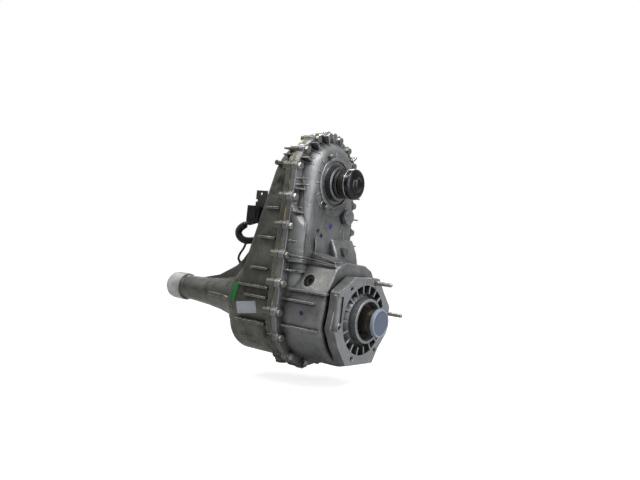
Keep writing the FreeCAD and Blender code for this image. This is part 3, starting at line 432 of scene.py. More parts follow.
castSkin = castGroup()
wornAndShadedSkin = wornAndShadedGroup()


def newMaterial(name):
    material = bpy.data.materials.new(name)
    material.use_nodes = True
    return material, material.node_tree, material.node_tree.nodes["Principled BSDF"]


def groupNode(tree, group, shader):
    node = tree.nodes.new("ShaderNodeGroup")
    node.node_tree = group
    tree.links.new(node.outputs["Color"], shader.inputs["Base Color"])
    tree.links.new(node.outputs["Roughness"], shader.inputs["Roughness"])
    tree.links.new(node.outputs["Normal"], shader.inputs["Normal"])
    return node


def castMaterial(name, light, dark, dirtAndShade, stain=0.5, dabs=(), machined=None):
    # dabs are (place, radius, colour) inspection marks; machined is the x above which the face is turned
    material, tree, shader = newMaterial(name)
    shader.inputs["Metallic"].default_value = castLook["metallic"]
    node = groupNode(tree, castSkin, shader)
    node.inputs["Light"].default_value = light + (1,)
    node.inputs["Dark"].default_value = dark + (1,)
    node.inputs["DirtAndShade"].default_value = dirtAndShade + (1,)
    node.inputs["Stain"].default_value = stain
    place = tree.nodes.new("ShaderNodeTexCoord").outputs["Object"]
    colour, rough = node.outputs["Color"], node.outputs["Roughness"]
    split = tree.nodes.new("ShaderNodeSeparateXYZ")
    tree.links.new(place, split.inputs[0])
    if machined is not None:
        face = spread(tree, split.outputs["X"], machined - 0.0004, machined)
        rings = tree.nodes.new("ShaderNodeTexNoise")
        rings.noise_dimensions = "1D"
        rings.inputs["Scale"].default_value = castLook["turnedScale"]
        tree.links.new(axisDistance(tree, split), rings.inputs["W"])
        turned = mixColour(tree, rings.outputs["Fac"], castLook["turnedDark"], castLook["turnedLight"])
        colour = mixColour(tree, calc(tree, "MULTIPLY", face, 0.75), colour, turned)
        rough = calc(tree, "SUBTRACT", rough, calc(tree, "MULTIPLY", face, 0.12))
    joint = calc(tree, "ABSOLUTE", calc(tree, "SUBTRACT", split.outputs["X"], partingX), 0.0)
    seam = spread(tree, joint, castLook["seamHalf"], castLook["seamHalf"] / 2)
    colour = mixColour(tree, seam, colour, castLook["seamColour"])
    for spot, radius, paint in dabs:
        colour = mixColour(tree, nearness(tree, place, spot, radius), colour, paint)
    tree.links.new(colour, shader.inputs["Base Color"])
    tree.links.new(rough, shader.inputs["Roughness"])
    return material


def wornAndShadedMaterial(name, colour, second, metallic, rough, scale=60.0, bump=0.15, shine=0.3, coat=0.0):
    material, tree, shader = newMaterial(name)
    shader.inputs["Metallic"].default_value = metallic
    shader.inputs["Coat Weight"].default_value = coat
    node = groupNode(tree, wornAndShadedSkin, shader)
    node.inputs["Color"].default_value = colour + (1,)
    node.inputs["Second"].default_value = second + (1,)
    node.inputs["Scale"].default_value = scale
    node.inputs["Rough"].default_value = rough
    node.inputs["Bump"].default_value = bump
    node.inputs["Shine"].default_value = shine
    return material


def capMaterial(name, rim, face, edge):
    # a shipping cap whose rim is paler than its face; edge is the radius where the rim starts
    material = wornAndShadedMaterial(name, face, tuple(c * 0.86 for c in face), 0.0, 0.36, 30.0, 0.1, 0.2)
    tree = material.node_tree
    shader = tree.nodes["Principled BSDF"]
    place = tree.nodes.new("ShaderNodeTexCoord").outputs["Object"]
    split = tree.nodes.new("ShaderNodeSeparateXYZ")
    tree.links.new(place, split.inputs[0])
    onRim = spread(tree, axisDistance(tree, split), edge - 0.0004, edge + 0.0004)
    base = shader.inputs["Base Color"].links[0].from_socket
    tree.links.new(mixColour(tree, onRim, base, rim), shader.inputs["Base Color"])
    return material


def seenFrom(tree, guide):
    # where the line from the camera through a guide point meets a surface
    start = Vector(cameraLook["place"])
    place, normal = tree.ray_cast(start, (Vector(guide) - start).normalized())[:2]
    return (place, normal) if place is not None else (Vector(guide), Vector((0, -1, 0)))


bpy.context.view_layer.update()
depsgraph = bpy.context.evaluated_depsgraph_get()
rearTree = BVHTree.FromObject(nodes["rear_case"], depsgraph)
frontTree = BVHTree.FromObject(nodes["front_case"], depsgraph)
paints = {"yellow": (0.30, 0.31, 0.03), "violet": (0.10, 0.07, 0.30), "smear": (0.035, 0.034, 0.04),
          "blue": (0.04, 0.04, 0.11)}
# guide point, radius, paint
dabs = [
    ((-0.066, -0.085, 0.066), 0.0045, "yellow"),
    ((chainFaceX, 0.003, 0.305), 0.0035, "yellow"),
    ((chainFaceX, 0.002, 0.298), 0.0035, "violet"),
    ((chainFaceX, -0.001, 0.174), 0.0065, "violet"),
    ((chainFaceX, -0.040, 0.163), 0.0050, "smear"),
    ((chainFaceX, -0.028, 0.154), 0.0050, "smear"),
    ((chainFaceX, -0.032, 0.218), 0.0045, "smear"),
    ((-0.084, -0.090, 0.003), 0.0050, "blue"),
]
frontDabs = [(tuple(seenFrom(frontTree, guide)[0]), radius, paints[paint]) for guide, radius, paint in dabs]
looks = {
    # the general cast alloy: a darker, olive-tinted copy of the front casting's alloy, painted shade for the
    # sides turned away from the lamps
    "cast_aluminium": castMaterial("castAluminiumShaded", (0.245, 0.243, 0.215), (0.100, 0.098, 0.082),
                                   (0.014, 0.013, 0.008), 0.75),
    "zinc_bolt": wornAndShadedMaterial("zincBolt", (0.50, 0.50, 0.47), (0.28, 0.275, 0.25), 0.9, 0.30),
    "machined_steel": wornAndShadedMaterial("machinedSteel", (0.22, 0.215, 0.20), (0.13, 0.125, 0.105), 0.85, 0.42),
    "gear_steel": wornAndShadedMaterial("gearSteel", (0.38, 0.38, 0.39), (0.28, 0.28, 0.29), 0.95, 0.3),
    "bearing_steel": wornAndShadedMaterial("bearingSteel", (0.62, 0.62, 0.63), (0.5, 0.5, 0.52), 1.0, 0.2, bump=0.05),
    "seal_rubber": wornAndShadedMaterial("sealRubber", (0.026, 0.026, 0.026), (0.016, 0.016, 0.016), 0.0, 0.6,
                                shine=0.05),
    "boot_rubber": wornAndShadedMaterial("bootRubber", (0.022, 0.021, 0.016), (0.012, 0.012, 0.010), 0.0, 0.38,
                                bump=0.25, shine=0.05),
    "cap_black": wornAndShadedMaterial("capBlack", (0.016, 0.016, 0.015), (0.010, 0.010, 0.010), 0.0, 0.30,
                              shine=0.05),
    "cap_blue_grey": capMaterial("capBlueGrey", (0.27, 0.31, 0.36), (0.112, 0.140, 0.195), 0.0236),
    "plug_white": wornAndShadedMaterial("plugWhite", (0.60, 0.60, 0.58), (0.36, 0.37, 0.36), 0.0, 0.22, 40.0, 0.6,
                               0.5, 0.5),
    "motor_paint": wornAndShadedMaterial("motorPaint", (0.030, 0.030, 0.031), (0.018, 0.018, 0.018), 0.3, 0.42, 80.0,
                                0.3),
    "connector_black": wornAndShadedMaterial("connectorBlack", (0.010, 0.010, 0.010), (0.016, 0.016, 0.016), 0.0,
                                    0.42, shine=0.05),
    "loom_black": wornAndShadedMaterial("loomBlack", (0.010, 0.012, 0.009), (0.018, 0.018, 0.014), 0.0, 0.42,
                               shine=0.05),
    "bracket_steel": wornAndShadedMaterial("bracketSteel", (0.085, 0.085, 0.075), (0.055, 0.055, 0.048), 0.5, 0.5),
    "bronze": wornAndShadedMaterial("bronze", (0.45, 0.30, 0.15), (0.36, 0.24, 0.12), 1.0, 0.35),
    "friction": wornAndShadedMaterial("friction", (0.16, 0.11, 0.07), (0.11, 0.08, 0.05), 0.0, 0.8, 200.0, 0.5),
    "copper_coil": wornAndShadedMaterial("coilSteel", (0.32, 0.31, 0.30), (0.24, 0.23, 0.22), 0.9, 0.4),
    "filter_plastic": wornAndShadedMaterial("filterPlastic", (0.06, 0.06, 0.06), (0.04, 0.04, 0.04), 0.0, 0.5),
    "magnet": wornAndShadedMaterial("magnet", (0.14, 0.14, 0.14), (0.1, 0.1, 0.1), 0.7, 0.5),
}
special = {
    # the front casting: a lighter, neutral copy of the same alloy, painted light for its lamp-facing front
    "front_case": castMaterial("frontCastingLit", (0.33, 0.33, 0.328), (0.160, 0.160, 0.157),
                               (0.016, 0.015, 0.011), 0.25, frontDabs, -0.0003),
    "dust_deflector": wornAndShadedMaterial("deflectorSteel", (0.20, 0.21, 0.225), (0.12, 0.125, 0.13), 0.85, 0.36),
    "fill_plug": wornAndShadedMaterial("oiledPlug", (0.10, 0.095, 0.075), (0.05, 0.046, 0.034), 0.8, 0.4),
    "input_shaft": wornAndShadedMaterial("oiledShaft", (0.15, 0.135, 0.10), (0.07, 0.062, 0.042), 0.85, 0.24, 45.0,
                                0.1, 0.6, 0.4),
}
slotOf = {entry["node"]: entry["material_slot"] for entry in frame["record"]["subparts"]}
for name, node in nodes.items():
    node.data.materials.clear()
    node.data.materials.append(special.get(name, looks[slotOf[name]]))
print("materials done")

conduit = {"route": [(-0.305, -0.012, 0.170), (-0.333, -0.014, 0.161), (-0.352, -0.014, 0.142),
                     (-0.332, -0.011, 0.123), (-0.302, 0.008, 0.132), (-0.276, 0.030, 0.126)],
           "radius": 0.008, "bundle": 0.0030, "bareLength": 0.026, "pitch": 0.0032, "depth": 0.0011,
           "length": 0.1465, "spacing": 0.0004, "pathSpacing": 0.002, "sides": 20}
wires = {"radius": 0.00115, "ring": 0.0034, "tuck": 0.004, "every": 4, "sway": 0.9, "swayRate": 0.22,
         "swayShift": 1.7, "loosen": 0.55, "sides": 10,
         "colours": [("wireOrange", (0.55, 0.10, 0.02)), ("wireOlive", (0.16, 0.15, 0.03)),
                     ("wireBlack", (0.012, 0.012, 0.012)), ("wireRed", (0.42, 0.03, 0.02)),
                     ("wireTan", (0.35, 0.22, 0.09)), ("wireGrey", (0.12, 0.12, 0.12))]}


def makeConduit():
    # a ribbed conduit that starts bare, with six wires showing there
    points, total = splinePoints(conduit["route"], conduit["spacing"])

    def radiusAt(run):
        if run < conduit["bareLength"]:
            return conduit["bundle"]
        ridge = 0.5 + 0.5 * math.cos(2 * math.pi * run / conduit["pitch"])
        return conduit["radius"] - conduit["depth"] * ridge ** 2

    piece = alongPath("loomConduit", points, radiusAt, conduit["sides"])
    setUp(piece, looks["loom_black"], "case")
    near = points[::wires["every"]]
    keep = int(len(near) * (conduit["bareLength"] + wires["tuck"]) / total)
    for i, (name, colour) in enumerate(wires["colours"]):
        angle = 2 * math.pi * i / len(wires["colours"])
        strand = []
        for k, point in enumerate(near[:keep]):
            side, other = basis(near[k + 1] - point)
            sway = angle + wires["sway"] * math.sin(k * wires["swayRate"] + i * wires["swayShift"])
            reach = wires["ring"] * (1.0 + wires["loosen"] * math.sin(math.pi * k / keep + i))
            strand.append(point + (side * math.cos(sway) + other * math.sin(sway)) * reach)
        wire = alongPath(name, strand, lambda run: wires["radius"], wires["sides"])
        sheath = wornAndShadedMaterial(name + "Sheath", colour, tuple(c * 0.7 for c in colour), 0.0, 0.4, shine=0.05)
        setUp(wire, sheath, "case")
    centreline = [tuple(p) for p in splinePoints(conduit["route"], conduit["pathSpacing"])[0]]
    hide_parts("wiring_loom")
    print("conduit", round(total, 4))


sensorLead = {"route": [(-0.324, -0.009, 0.128), (-0.325, -0.011, 0.112), (-0.342, -0.010, 0.093),
                        (-0.3495, -0.003, 0.079), (-0.350, 0.01214, 0.07275)], "radius": 0.0025,
              "length": 0.0738}


def makeSensorLead():
    lead = splineCurve("speedSensorLead", sensorLead["route"], sensorLead["radius"])
    setUp(lead, looks["seal_rubber"], "case")
    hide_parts("sensor_lead")


makeConduit()
makeSensorLead()
print("cords done")


def lobeOutline(x, lower, upper, count=360):
    # points round the two-lobed joint outline, evenly spaced
    lean = math.asin((lower - upper) / centreDistance)
    corners = []
    for height, radius, start, sweep in ((centreDistance, upper, lean, math.pi - 2 * lean),
                                         (0, lower, math.pi - lean, math.pi + 2 * lean)):
        for degree in range(91):
            a = start + sweep * degree / 90
            corners.append(Vector((x, radius * math.cos(a), height + radius * math.sin(a))))
    points = evenly(corners + corners[:1], count)
    return points + points[:1]


sealant = {"radius": 0.0008, "bulge": 0.0009, "inset": 0.0001, "count": 1400, "seed": 11, "waves": 9,
           "colour": (0.34, 0.26, 0.09), "second": (0.16, 0.13, 0.06)}


def makeSealant():
    # gasket compound squeezed out of the joint, in uneven beads
    random.seed(sealant["seed"])
    waves = [(random.uniform(40, 420), random.uniform(0, 6.28), random.uniform(0.2, 1))
             for _ in range(sealant["waves"])]

    def radiusAt(run):
        swell = sum(w * math.sin(f * run + p) for f, p, w in waves) / 3
        return sealant["radius"] + sealant["bulge"] * max(-0.6, min(1, swell))

    inset = sealant["inset"]
    points = lobeOutline(partingX, lowerLobe - inset, upperLobe - inset, sealant["count"])
    bead = alongPath("jointSealant", points, radiusAt, 8, False)
    paste = wornAndShadedMaterial("jointSealant", sealant["colour"], sealant["second"], 0.0, 0.5, 30.0, 0.2, 0.0)
    setUp(bead, paste, "case")


makeSealant()
print("sealant done")

studLook = {"radius": 0.004, "pitch": 0.00125, "depth": 0.00038, "start": 0.009, "tip": 0.0378,
            "angles": (9, 69), "circle": 0.078, "core": 0.0034, "foot": -0.0179, "step": -0.0015,
            "runOut": 0.0006, "point": 0.0014, "pointDrop": 0.0010, "rootGap": 0.00005, "freeEnd": 0.0016}


def spinProfile(mesh, profile, y, z, turns, advance, stepsPerTurn=24):
    # spins (x, radius) points about a line along x, with an advance along it for each turn
    verts = [mesh.verts.new((x, y + radius, z)) for x, radius in profile]
    edges = [mesh.edges.new(pair) for pair in zip(verts, verts[1:])]
    bmesh.ops.spin(mesh, geom=verts + edges, cent=(0, y, z), axis=(1, 0, 0),
                   dvec=(advance / stepsPerTurn, 0, 0),
                   angle=2 * math.pi * turns, steps=stepsPerTurn * turns, use_merge=False)
    bmesh.ops.remove_doubles(mesh, verts=mesh.verts, dist=mergeDistance)


def makeStuds():
    # two studs with a rolled thread towards the gearbox
    look = studLook
    root = look["radius"] - look["depth"]
    core, neck = root - look["rootGap"], root - look["pointDrop"]
    start, tip, pitch = look["start"], look["tip"], look["pitch"]
    turns = int((tip - look["freeEnd"] - start) / pitch)
    shank = [(look["foot"], 0), (look["foot"], look["core"]), (look["step"], look["core"]),
             (look["step"], look["radius"]), (start, look["radius"]), (start + look["runOut"], core),
             (tip - look["point"], core), (tip, neck), (tip, 0)]
    thread = [(start, root), (start + pitch / 2, look["radius"]), (start + pitch, root)]
    for number, degrees in enumerate(look["angles"], 1):
        a = math.radians(degrees)
        y, z = look["circle"] * math.cos(a), look["circle"] * math.sin(a)
        mesh = bmesh.new()
        spinProfile(mesh, shank, y, z, 1, 0.0)
        spinProfile(mesh, thread, y, z, turns, pitch)
        stud = setUp(fromBmesh("adapterStud%d" % number, mesh, True, 0.5), looks["zinc_bolt"], "case")
        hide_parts("adapter_studs")


makeStuds()
print("studs done")

bootTrim = {"clampX": -0.0835, "clampRadius": 0.0288, "clampWidth": 0.0052, "wireX": -0.0623,
            "wireRadius": 0.0302, "wireThick": 0.0009, "ear": (0.0046, 0.009, 0.0024), "earBevel": 0.0005,
            "earLift": 0.0016}


def makeBootTrim():
    # a crimped band at the foot of the boot and a bright wire ring under the cap
    r, w = bootTrim["clampRadius"], bootTrim["clampWidth"] / 2
    axis = (bootTrim["clampX"], 0, centreDistance)
    half = [(w * 0.4, r + 0.0008), (w - 0.0005, r + 0.0011), (w, r + 0.0006), (w, r - 0.001)]
    band = lathe("bootClamp", [(-along, radius) for along, radius in reversed(half)] + half, axis, steps=96)
    steel = wornAndShadedMaterial("clampSteel", (0.15, 0.145, 0.125), (0.08, 0.076, 0.06), 0.85, 0.34)
    setUp(band, steel, "front_output")
    mesh = bmesh.new()
    bmesh.ops.create_cube(mesh, size=1.0)
    bmesh.ops.scale(mesh, vec=bootTrim["ear"], verts=mesh.verts)
    bmesh.ops.bevel(mesh, geom=mesh.edges[:], offset=bootTrim["earBevel"], segments=2, affect="EDGES",
                    profile=0.5, material=-1)
    earPlace = (bootTrim["clampX"], 0, centreDistance + r + bootTrim["earLift"])
    bmesh.ops.translate(mesh, vec=earPlace, verts=mesh.verts)
    setUp(fromBmesh("bootClampEar", mesh), steel, "front_output")
    r, t = bootTrim["wireRadius"], bootTrim["wireThick"]
    loop = [(t * math.cos(a), r + t * math.sin(a)) for a in [2 * math.pi * i / 10 for i in range(11)]]
    wire = lathe("bootWire", loop, (bootTrim["wireX"], 0, centreDistance), steps=96)
    bright = wornAndShadedMaterial("wireBright", (0.70, 0.70, 0.68), (0.5, 0.5, 0.48), 1.0, 0.22)
    setUp(wire, bright, "front_output")


makeBootTrim()
print("boot trim done")


def decal(name, tree, look, material):
    # a thin sheet laid on a surface: a leaning grid, dropped along the line of sight
    mesh = bmesh.new()
    columns, rows = look["grid"]
    bmesh.ops.create_grid(mesh, x_segments=columns, y_segments=rows, size=0.5)
    tilt, lean = math.radians(look["tilt"]), math.radians(look["lean"])
    across = Vector((math.cos(tilt), 0, math.sin(tilt))) * look["width"]
    upwards = Vector((-math.sin(lean), 0, math.cos(lean))) * look["height"]
    for vertex in mesh.verts:
        guide = Vector(look["centre"]) + across * vertex.co.x + upwards * vertex.co.y
        place, normal = seenFrom(tree, guide)
        vertex.co = place + normal * look["lift"]
    mesh.normal_update()
    bmesh.ops.solidify(mesh, geom=mesh.faces[:], thickness=look["thick"])
    return setUp(fromBmesh(name, mesh), material, "case")


# each sheet is drawn on an upright plane along the case, in metres and degrees, then dropped onto it
labelLook = {"centre": (-0.223, -0.095, -0.0055), "width": 0.0535, "height": 0.025, "tilt": 9.3,
             "lean": 16.7, "lift": 0.0006, "thick": 0.0003, "grid": (24, 16)}
stripLook = {"centre": (-0.2795, -0.075, 0.019), "width": 0.0165, "height": 0.041, "tilt": 14, "lean": -13,
             "lift": 0.0007, "thick": 0.0003, "grid": (10, 24)}
paper = wornAndShadedMaterial("labelPaper", (0.46, 0.49, 0.53), (0.38, 0.41, 0.44), 0.0, 0.45, 120.0, 0.1, 0.0)
decal("blankLabel", rearTree, labelLook, paper)
tape = wornAndShadedMaterial("greenTape", (0.004, 0.20, 0.035), (0.003, 0.12, 0.02), 0.0, 0.35, 90.0, 0.15, 0.0)
decal("greenStrip", rearTree, stripLook, tape)
print("label and strip done")


cornerWedge = {"low": 0.099, "high": 0.215, "blockTop": 0.168, "front": -0.0984, "back": -0.1272,
               "foot": -0.1035, "top": -0.0870, "swell": 0.0042, "lean": 0.036, "levels": 28, "steps": 12,
               "bury": 0.003, "thinnest": 0.02}


def makeCornerWedge():
    # a sloping web between the joint flange and the front face, above the ledge
    look = cornerWedge
    mesh = bmesh.new()
    outline = []
    for k in range(look["steps"] + 1):
        t = k / look["steps"]
        swell = math.sin(math.pi * t) * look["swell"]
        outline.append((look["back"] + (look["front"] - look["back"]) * t + swell * 0.5,
                        look["foot"] + (look["top"] - look["foot"]) * t - swell))
    inner = look["top"] + look["bury"]
    outline += [(look["front"], inner), (look["back"], inner)]
    face = mesh.faces.new([mesh.verts.new((x, y, look["low"])) for x, y in outline])
    rise = (look["high"] - look["low"]) / look["levels"]
    before = 1.0   # the depth of the level below, as a share of the full depth
    for level in range(1, look["levels"] + 1):
        z = look["low"] + rise * level
        fade = max(look["thinnest"], min(1.0, (look["high"] - z) / (look["high"] - look["blockTop"])))
        fade = fade * fade * (3 - 2 * fade)
        made = bmesh.ops.extrude_face_region(mesh, geom=[face])["geom"]
        face = [item for item in made if isinstance(item, bmesh.types.BMFace)][0]
        bmesh.ops.translate(mesh, vec=(0, look["lean"] * rise, rise), verts=face.verts)
        hinge = Matrix.Translation((-look["back"], 0, 0))
        bmesh.ops.scale(mesh, vec=(fade / before, 1, 1), space=hinge, verts=face.verts)
        before = fade
    return setUp(fromBmesh("cornerWedge", mesh), special["front_case"], "case")


def joinedTree(pieces):
    # one search tree over several pieces
    mesh = bmesh.new()
    for piece in pieces:
        mesh.from_mesh(piece.data)
    tree = BVHTree.FromBMesh(mesh)
    mesh.free()
    return tree


frontSkin = joinedTree([nodes["front_case"], makeCornerWedge()])
print("corner wedge done")


def surfaceBead(name, tree, look):
    # a raised cast bead that follows a surface through the places seen behind its guide points
    curve = splineCurve("beadLine", look["guide"])
    line = bpy.data.meshes.new_from_object(curve)
    dense = [vertex.co.copy() for vertex in line.vertices]
    bpy.data.objects.remove(curve)
    hits = smoothed([seenFrom(tree, point)[0] for point in dense], beadSmoothing)
    radiusAt = tapered(look["radius"], pathLength(hits), beadTaper, beadTaper)
    setUp(alongPath(name, hits, radiusAt, beadSides), special["front_case"], "case")


beadSmoothing, beadTaper, beadSides = 3, 0.006, 10
lookFromX = -0.05   # where lines of sight start, in front of the chain face
beads = {
    "ledgeBead": {"radius": 0.0024, "guide": [
        (-0.139, -0.088, 0.1115), (-0.110, -0.088, 0.110), (-0.069, -0.088, 0.107), (-0.040, -0.088, 0.104),
        (-0.015, -0.088, 0.1005)]},
    "ledgeLowerBead": {"radius": 0.0014, "guide": [
        (-0.103, -0.088, 0.105), (-0.075, -0.088, 0.1035), (-0.045, -0.088, 0.102),
        (-0.020, -0.088, 0.0985)]},
    "panelLeftBead": {"radius": 0.0011, "guide": [
        (chainFaceX, -0.103, 0.264), (chainFaceX, -0.095, 0.238), (chainFaceX, -0.090, 0.210),
        (chainFaceX, -0.086, 0.181), (chainFaceX, -0.077, 0.156), (chainFaceX, -0.063, 0.138),
        (chainFaceX, -0.045, 0.118)]},
    "domeBead": {"radius": 0.0009, "guide": [
        (chainFaceX, -0.047, 0.151), (chainFaceX, -0.042, 0.135), (chainFaceX, -0.041, 0.121),
        (chainFaceX, -0.042, 0.110)]},
    "panelRightBead": {"radius": 0.0010, "guide": [
        (chainFaceX, 0.041, 0.241), (chainFaceX, 0.044, 0.221), (chainFaceX, 0.044, 0.198),
        (chainFaceX, 0.038, 0.173), (chainFaceX, 0.032, 0.164)]},
}
for name, look in beads.items():
    surfaceBead(name, frontSkin, look)
print("cast beads done")


shoulderRibs = {"spacing": 0.0062, "reach": 0.021, "radius": 0.0024, "lowest": 0.095, "widestGap": 0.07,
                "narrowestGap": 0.02, "startTaper": 0.004, "endTaper": 0.008, "steps": 16, "fewest": 8,
                "bury": 0.001}


def frontOver(spot):
    # where the front case lies straight behind a spot, looking along the input axis
    return frontTree.ray_cast(Vector((lookFromX, spot.y, spot.z)), Vector((-1, 0, 0)))[0]


def boltSpots():
    # the middle of each case bolt, found from the separate solids of its node
    mesh = bmesh.new()
    mesh.from_mesh(nodes["case_bolts"].data)
    mesh.verts.ensure_lookup_table()
    left, spots = set(range(len(mesh.verts))), []
    while left:
        queue = [left.pop()]
        group = list(queue)
        while queue:
            for edge in mesh.verts[queue.pop()].link_edges:
                for vertex in edge.verts:
                    if vertex.index in left:
                        left.remove(vertex.index)
                        queue.append(vertex.index)
                        group.append(vertex.index)
        spots.append(sum((mesh.verts[i].co for i in group), Vector()) / len(group))
    mesh.free()
    return spots


def makeShoulderRibs():
    # pairs of short rounded ribs on the shoulder, half-way between neighbouring bosses
    look = shoulderRibs
    middle = Vector((0, 0, centreDistance * 0.6))
    spots = sorted(boltSpots(), key=lambda p: math.atan2(p.z - middle.z, p.y))
    number = 0
    for first, second in zip(spots, spots[1:] + spots[:1]):
        gap = second - first
        gap.x = 0
        centre = (first + second) / 2
        if centre.z < look["lowest"] or not look["narrowestGap"] <= gap.length <= look["widestGap"]:
            continue
        along = gap.normalized()
        inward = Vector((0, -along.z, along.y))
        if inward.dot(middle - centre) < 0:
            inward = -inward
        for side in (-1, 1):
            start = centre + along * side * look["spacing"]
            path = []
            for k in range(look["steps"] + 1):
                place = frontOver(start + inward * (k / look["steps"] * look["reach"] - look["bury"]))
                if place is not None and partingX < place.x < chainFaceX + look["bury"]:
                    path.append(place)
            if len(path) < look["fewest"]:
                continue
            path = smoothed(path, 2)
            radiusAt = tapered(look["radius"], pathLength(path), look["endTaper"], look["startTaper"])
            number += 1
            rib = alongPath("shoulderRib%d" % number, path, radiusAt, beadSides)
            setUp(rib, special["front_case"], "case")
    print("shoulder ribs", number)


makeShoulderRibs()

outputRing = {"outer": 0.0515, "inner": 0.0452, "face": -0.1008, "base": -0.1046, "bevel": 0.0009,
              "firstRib": 96, "ribStep": 22, "ribs": 9, "ribEnd": 0.0635, "ribRadius": 0.0017,
              "ribTaper": 0.004, "ribBury": 0.001, "ribPoints": 12}


def makeOutputRing():
    # a raised turned ring round the front output, with short ribs that run out from it
    look = outputRing
    o, n, face, base, b = look["outer"], look["inner"], look["face"], look["base"], look["bevel"]
    outside = [(base, o + b), (face - b, o), (face - b * 0.3, o - b * 0.3), (face, o - b)]
    inside = [(face, n + b), (face - b * 0.3, n + b * 0.3), (face - b, n), (base, n)]
    ring = lathe("outputRing", outside + inside + outside[:1], (0, 0, centreDistance), steps=96)
    setUp(ring, special["front_case"], "case")
    for number in range(look["ribs"]):
        a = math.radians(look["firstRib"] + look["ribStep"] * number)
        path = []
        for k in range(look["ribPoints"] + 1):
            r = o - look["ribBury"] + (look["ribEnd"] - o) * k / look["ribPoints"]
            place = frontOver(Vector((0, r * math.cos(a), centreDistance + r * math.sin(a))))
            if place is not None:
                path.append(place)
        radiusAt = tapered(look["ribRadius"], (path[-1] - path[0]).length, look["ribTaper"])
        rib = alongPath("outputRib%d" % (number + 1), path, radiusAt, beadSides)
        setUp(rib, special["front_case"], "case")


makeOutputRing()
print("output ring done")

capNose = {"lip": -0.0618, "rim": -0.0545, "dome": -0.0490, "tip": -0.0425, "radius": 0.0306,
           "noseRadius": 0.0132, "wall": 0.0022, "corner": 0.0004, "land": 0.001, "shoulder": 0.002,
           "step": 0.0036, "stepDrop": 0.0006, "noseFoot": 0.0016, "noseStart": 0.0022, "noseFlat": 0.35,
           "floorGap": 0.0030, "floorEdge": 0.004, "arcSteps": 9, "noseSteps": 8}


def makeBootCap():
    # the glossy cap on the front output: a short rim, a domed front and a blunt nose
    look = capNose
    r, n, w = look["radius"], look["noseRadius"], look["wall"]
    lip, rim, dome, tip = look["lip"], look["rim"], look["dome"], look["tip"]
    land, corner = rim - look["land"], look["corner"]
    outside = [(lip, r - w), (lip, r - corner), (lip + corner, r), (land, r), (rim, r - 0.75 * corner)]
    fall = r - n - look["shoulder"]
    for i in range(1, look["arcSteps"] + 1):
        a = math.radians(9 * i)
        outside.append((rim + (dome - rim) * math.sin(a), n + look["shoulder"] + fall * math.cos(a)))
    outside += [(dome, n + look["step"]), (dome + look["stepDrop"], n + look["step"] / 2),
                (dome + look["noseFoot"], n)]
    start = dome + look["noseStart"]
    for i in range(1, look["noseSteps"] + 1):
        a = math.radians(90 * i / look["noseSteps"])
        outside.append((start + (tip - start) * math.sin(a),
                        n * look["noseFlat"] + n * (1 - look["noseFlat"]) * math.cos(a)))
    outside.append((tip, 0.0))
    floor, edge = rim + look["floorGap"], look["floorEdge"]
    inside = [(floor, 0.0), (floor, n + edge), (rim + look["floorGap"] / 2, r - w - edge), (land, r - w)]
    gloss = wornAndShadedMaterial("capGloss", (0.004, 0.004, 0.0035), (0.002, 0.002, 0.002), 0.0, 0.24, shine=0.0,
                         coat=0.0)
    piece = lathe("bootCap", outside + inside + [(lip, r - w)], (0, 0, centreDistance), steps=96)
    setUp(piece, gloss, "front_cap_body")
    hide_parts("front_output_cap")


makeBootCap()
print("boot cap done")


# (distance along the cord, radius) from the part outwards
connectorSeal = [(-0.001, 0), (-0.001, 0.0062), (0.0015, 0.0062), (0.002, 0.0056), (0.006, 0.0042),
                 (0.0062, 0.0034), (0.0062, 0)]
sensorBoot = [(-0.001, 0), (-0.001, 0.0044), (0.003, 0.0044), (0.0034, 0.0040), (0.0046, 0.0040),
              (0.005, 0.0036), (0.011, 0.0029), (0.0114, 0.0024), (0.0114, 0)]


def makeReliefs():
    # tapered seals where the cords leave the connector and the sensor
    for name, route, look in (("connectorSeal", conduit["route"], connectorSeal),
                              ("sensorBoot", sensorLead["route"][::-1], sensorBoot)):
        start = Vector(route[0])
        seal = lathe(name, look, start, (Vector(route[1]) - start).normalized(), 32)
        setUp(seal, looks["seal_rubber"], "case")


makeReliefs()
print("reliefs done")


floorLook = {"glow": 0.80, "tone": 0.42, "footX": (-0.3, 0.0), "footY": (-0.1, 0.1), "gap": 0.004,
             "reach": 6, "middle": (-0.2, 0, 0), "rough": 0.9, "gloss": 0.1}


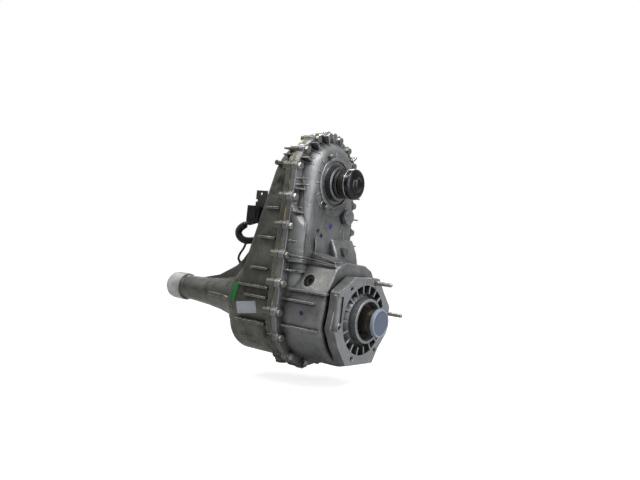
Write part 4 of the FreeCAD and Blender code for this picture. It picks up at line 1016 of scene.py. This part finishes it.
def makeStage():
    # a pale floor square to the camera's upright, just under the lowest part of the case
    feet = [Vector((x, y, cadBox[0][2])) for x in floorLook["footX"] for y in floorLook["footY"]]
    low = min(foot.dot(upward) for foot in feet)
    centre = Vector(floorLook["middle"])
    spot = centre + upward * (low - centre.dot(upward) - floorLook["gap"])
    side, other = basis(upward)
    mesh = bmesh.new()
    lie = Matrix((side, other, upward)).transposed().to_4x4()
    bmesh.ops.create_grid(mesh, x_segments=2, y_segments=2, size=floorLook["reach"],
                          matrix=Matrix.Translation(spot) @ lie)
    floor = fromBmesh("studioFloor", mesh, False)
    material, tree, shader = newMaterial("paleFloor")
    shader.inputs["Base Color"].default_value = (floorLook["tone"],) * 3 + (1,)
    shader.inputs["Roughness"].default_value = floorLook["rough"]
    shader.inputs["Specular IOR Level"].default_value = floorLook["gloss"]
    rays = tree.nodes.new("ShaderNodeLightPath")
    white = tree.nodes.new("ShaderNodeEmission")
    white.inputs["Color"].default_value = (1, 1, 1, 1)
    white.inputs["Strength"].default_value = floorLook["glow"]
    both = tree.nodes.new("ShaderNodeAddShader")
    mix = tree.nodes.new("ShaderNodeMixShader")
    tree.links.new(shader.outputs[0], both.inputs[0])
    tree.links.new(white.outputs[0], both.inputs[1])
    tree.links.new(rays.outputs["Is Camera Ray"], mix.inputs[0])
    tree.links.new(shader.outputs[0], mix.inputs[1])
    tree.links.new(both.outputs[0], mix.inputs[2])
    tree.links.new(mix.outputs[0], tree.nodes["Material Output"].inputs["Surface"])
    floor.data.materials.append(material)


worldLook = {"low": (0.30, (0.10, 0.10, 0.095, 1)), "middle": (0.55, (0.13, 0.13, 0.122, 1)),
             "high": (0.85, (0.60, 0.62, 0.66, 1)), "patchScale": 2.4, "patchDark": 0.35, "patchLight": 1.7}


def makeWorld():
    # a dim room with a brighter, uneven ceiling, and plain white behind the object
    world = bpy.data.worlds.new("studio")
    bpy.context.scene.world = world
    world.use_nodes = True
    tree = world.node_tree
    place = tree.nodes.new("ShaderNodeTexCoord").outputs["Generated"]
    split = tree.nodes.new("ShaderNodeSeparateXYZ")
    tree.links.new(place, split.inputs[0])
    ramp = tree.nodes.new("ShaderNodeValToRGB")
    steps = ramp.color_ramp.elements
    steps[0].position, steps[0].color = worldLook["low"]
    steps[1].position, steps[1].color = worldLook["high"]
    middle, tone = worldLook["middle"]
    steps.new(middle).color = tone
    tree.links.new(spread(tree, split.outputs["Z"], -1, 1), ramp.inputs[0])
    patches = noise(tree, place, worldLook["patchScale"], 2.0, 0.5)
    patches = spread(tree, patches, 0.42, 0.58, worldLook["patchDark"], worldLook["patchLight"])
    room = mixColour(tree, 1.0, ramp.outputs[0], patches, "MULTIPLY")
    rays = tree.nodes.new("ShaderNodeLightPath")
    colour = mixColour(tree, rays.outputs["Is Camera Ray"], room, (1, 1, 1))
    back = tree.nodes["Background"]
    tree.links.new(colour, back.inputs["Color"])
    back.inputs["Strength"].default_value = 1.0


def areaLight(name, place, target, size, power, colour):
    data = bpy.data.lights.new(name, "AREA")
    data.shape = "RECTANGLE"
    data.size, data.size_y = size
    data.energy = power
    data.color = colour
    light = linkObject(name, data)
    light.location = place
    light.rotation_euler = (Vector(target) - Vector(place)).to_track_quat("-Z", "Y").to_euler()


# place, what it points at, size, power in watts, colour
lamps = {
    "keyLight": ((0.9, -0.2, 1.4), (-0.12, 0, 0.12), (0.6, 0.45), 14, (1.0, 1.0, 1.0)),
    "faceLight": ((1.6, 0.1, 0.5), (-0.1, 0, 0.1), (0.9, 1.2), 9.5, (0.90, 0.93, 1.0)),
    "sideLight": ((-1.0, -0.8, 1.5), (-0.25, 0, 0.05), (0.5, 0.25), 6.5, (1.0, 0.97, 0.86)),
    "fillLight": ((1.5, -0.9, 0.35), (-0.12, 0, 0.08), (1.8, 1.4), 5.0, (0.95, 0.97, 1.0)),
    "backLight": ((-1.1, 0.9, 1.2), (-0.2, 0, 0.1), (0.8, 0.5), 16, (1.0, 0.98, 0.90)),
}
makeStage()
makeWorld()
for name, lamp in lamps.items():
    areaLight(name, *lamp)
print("stage and lights done")
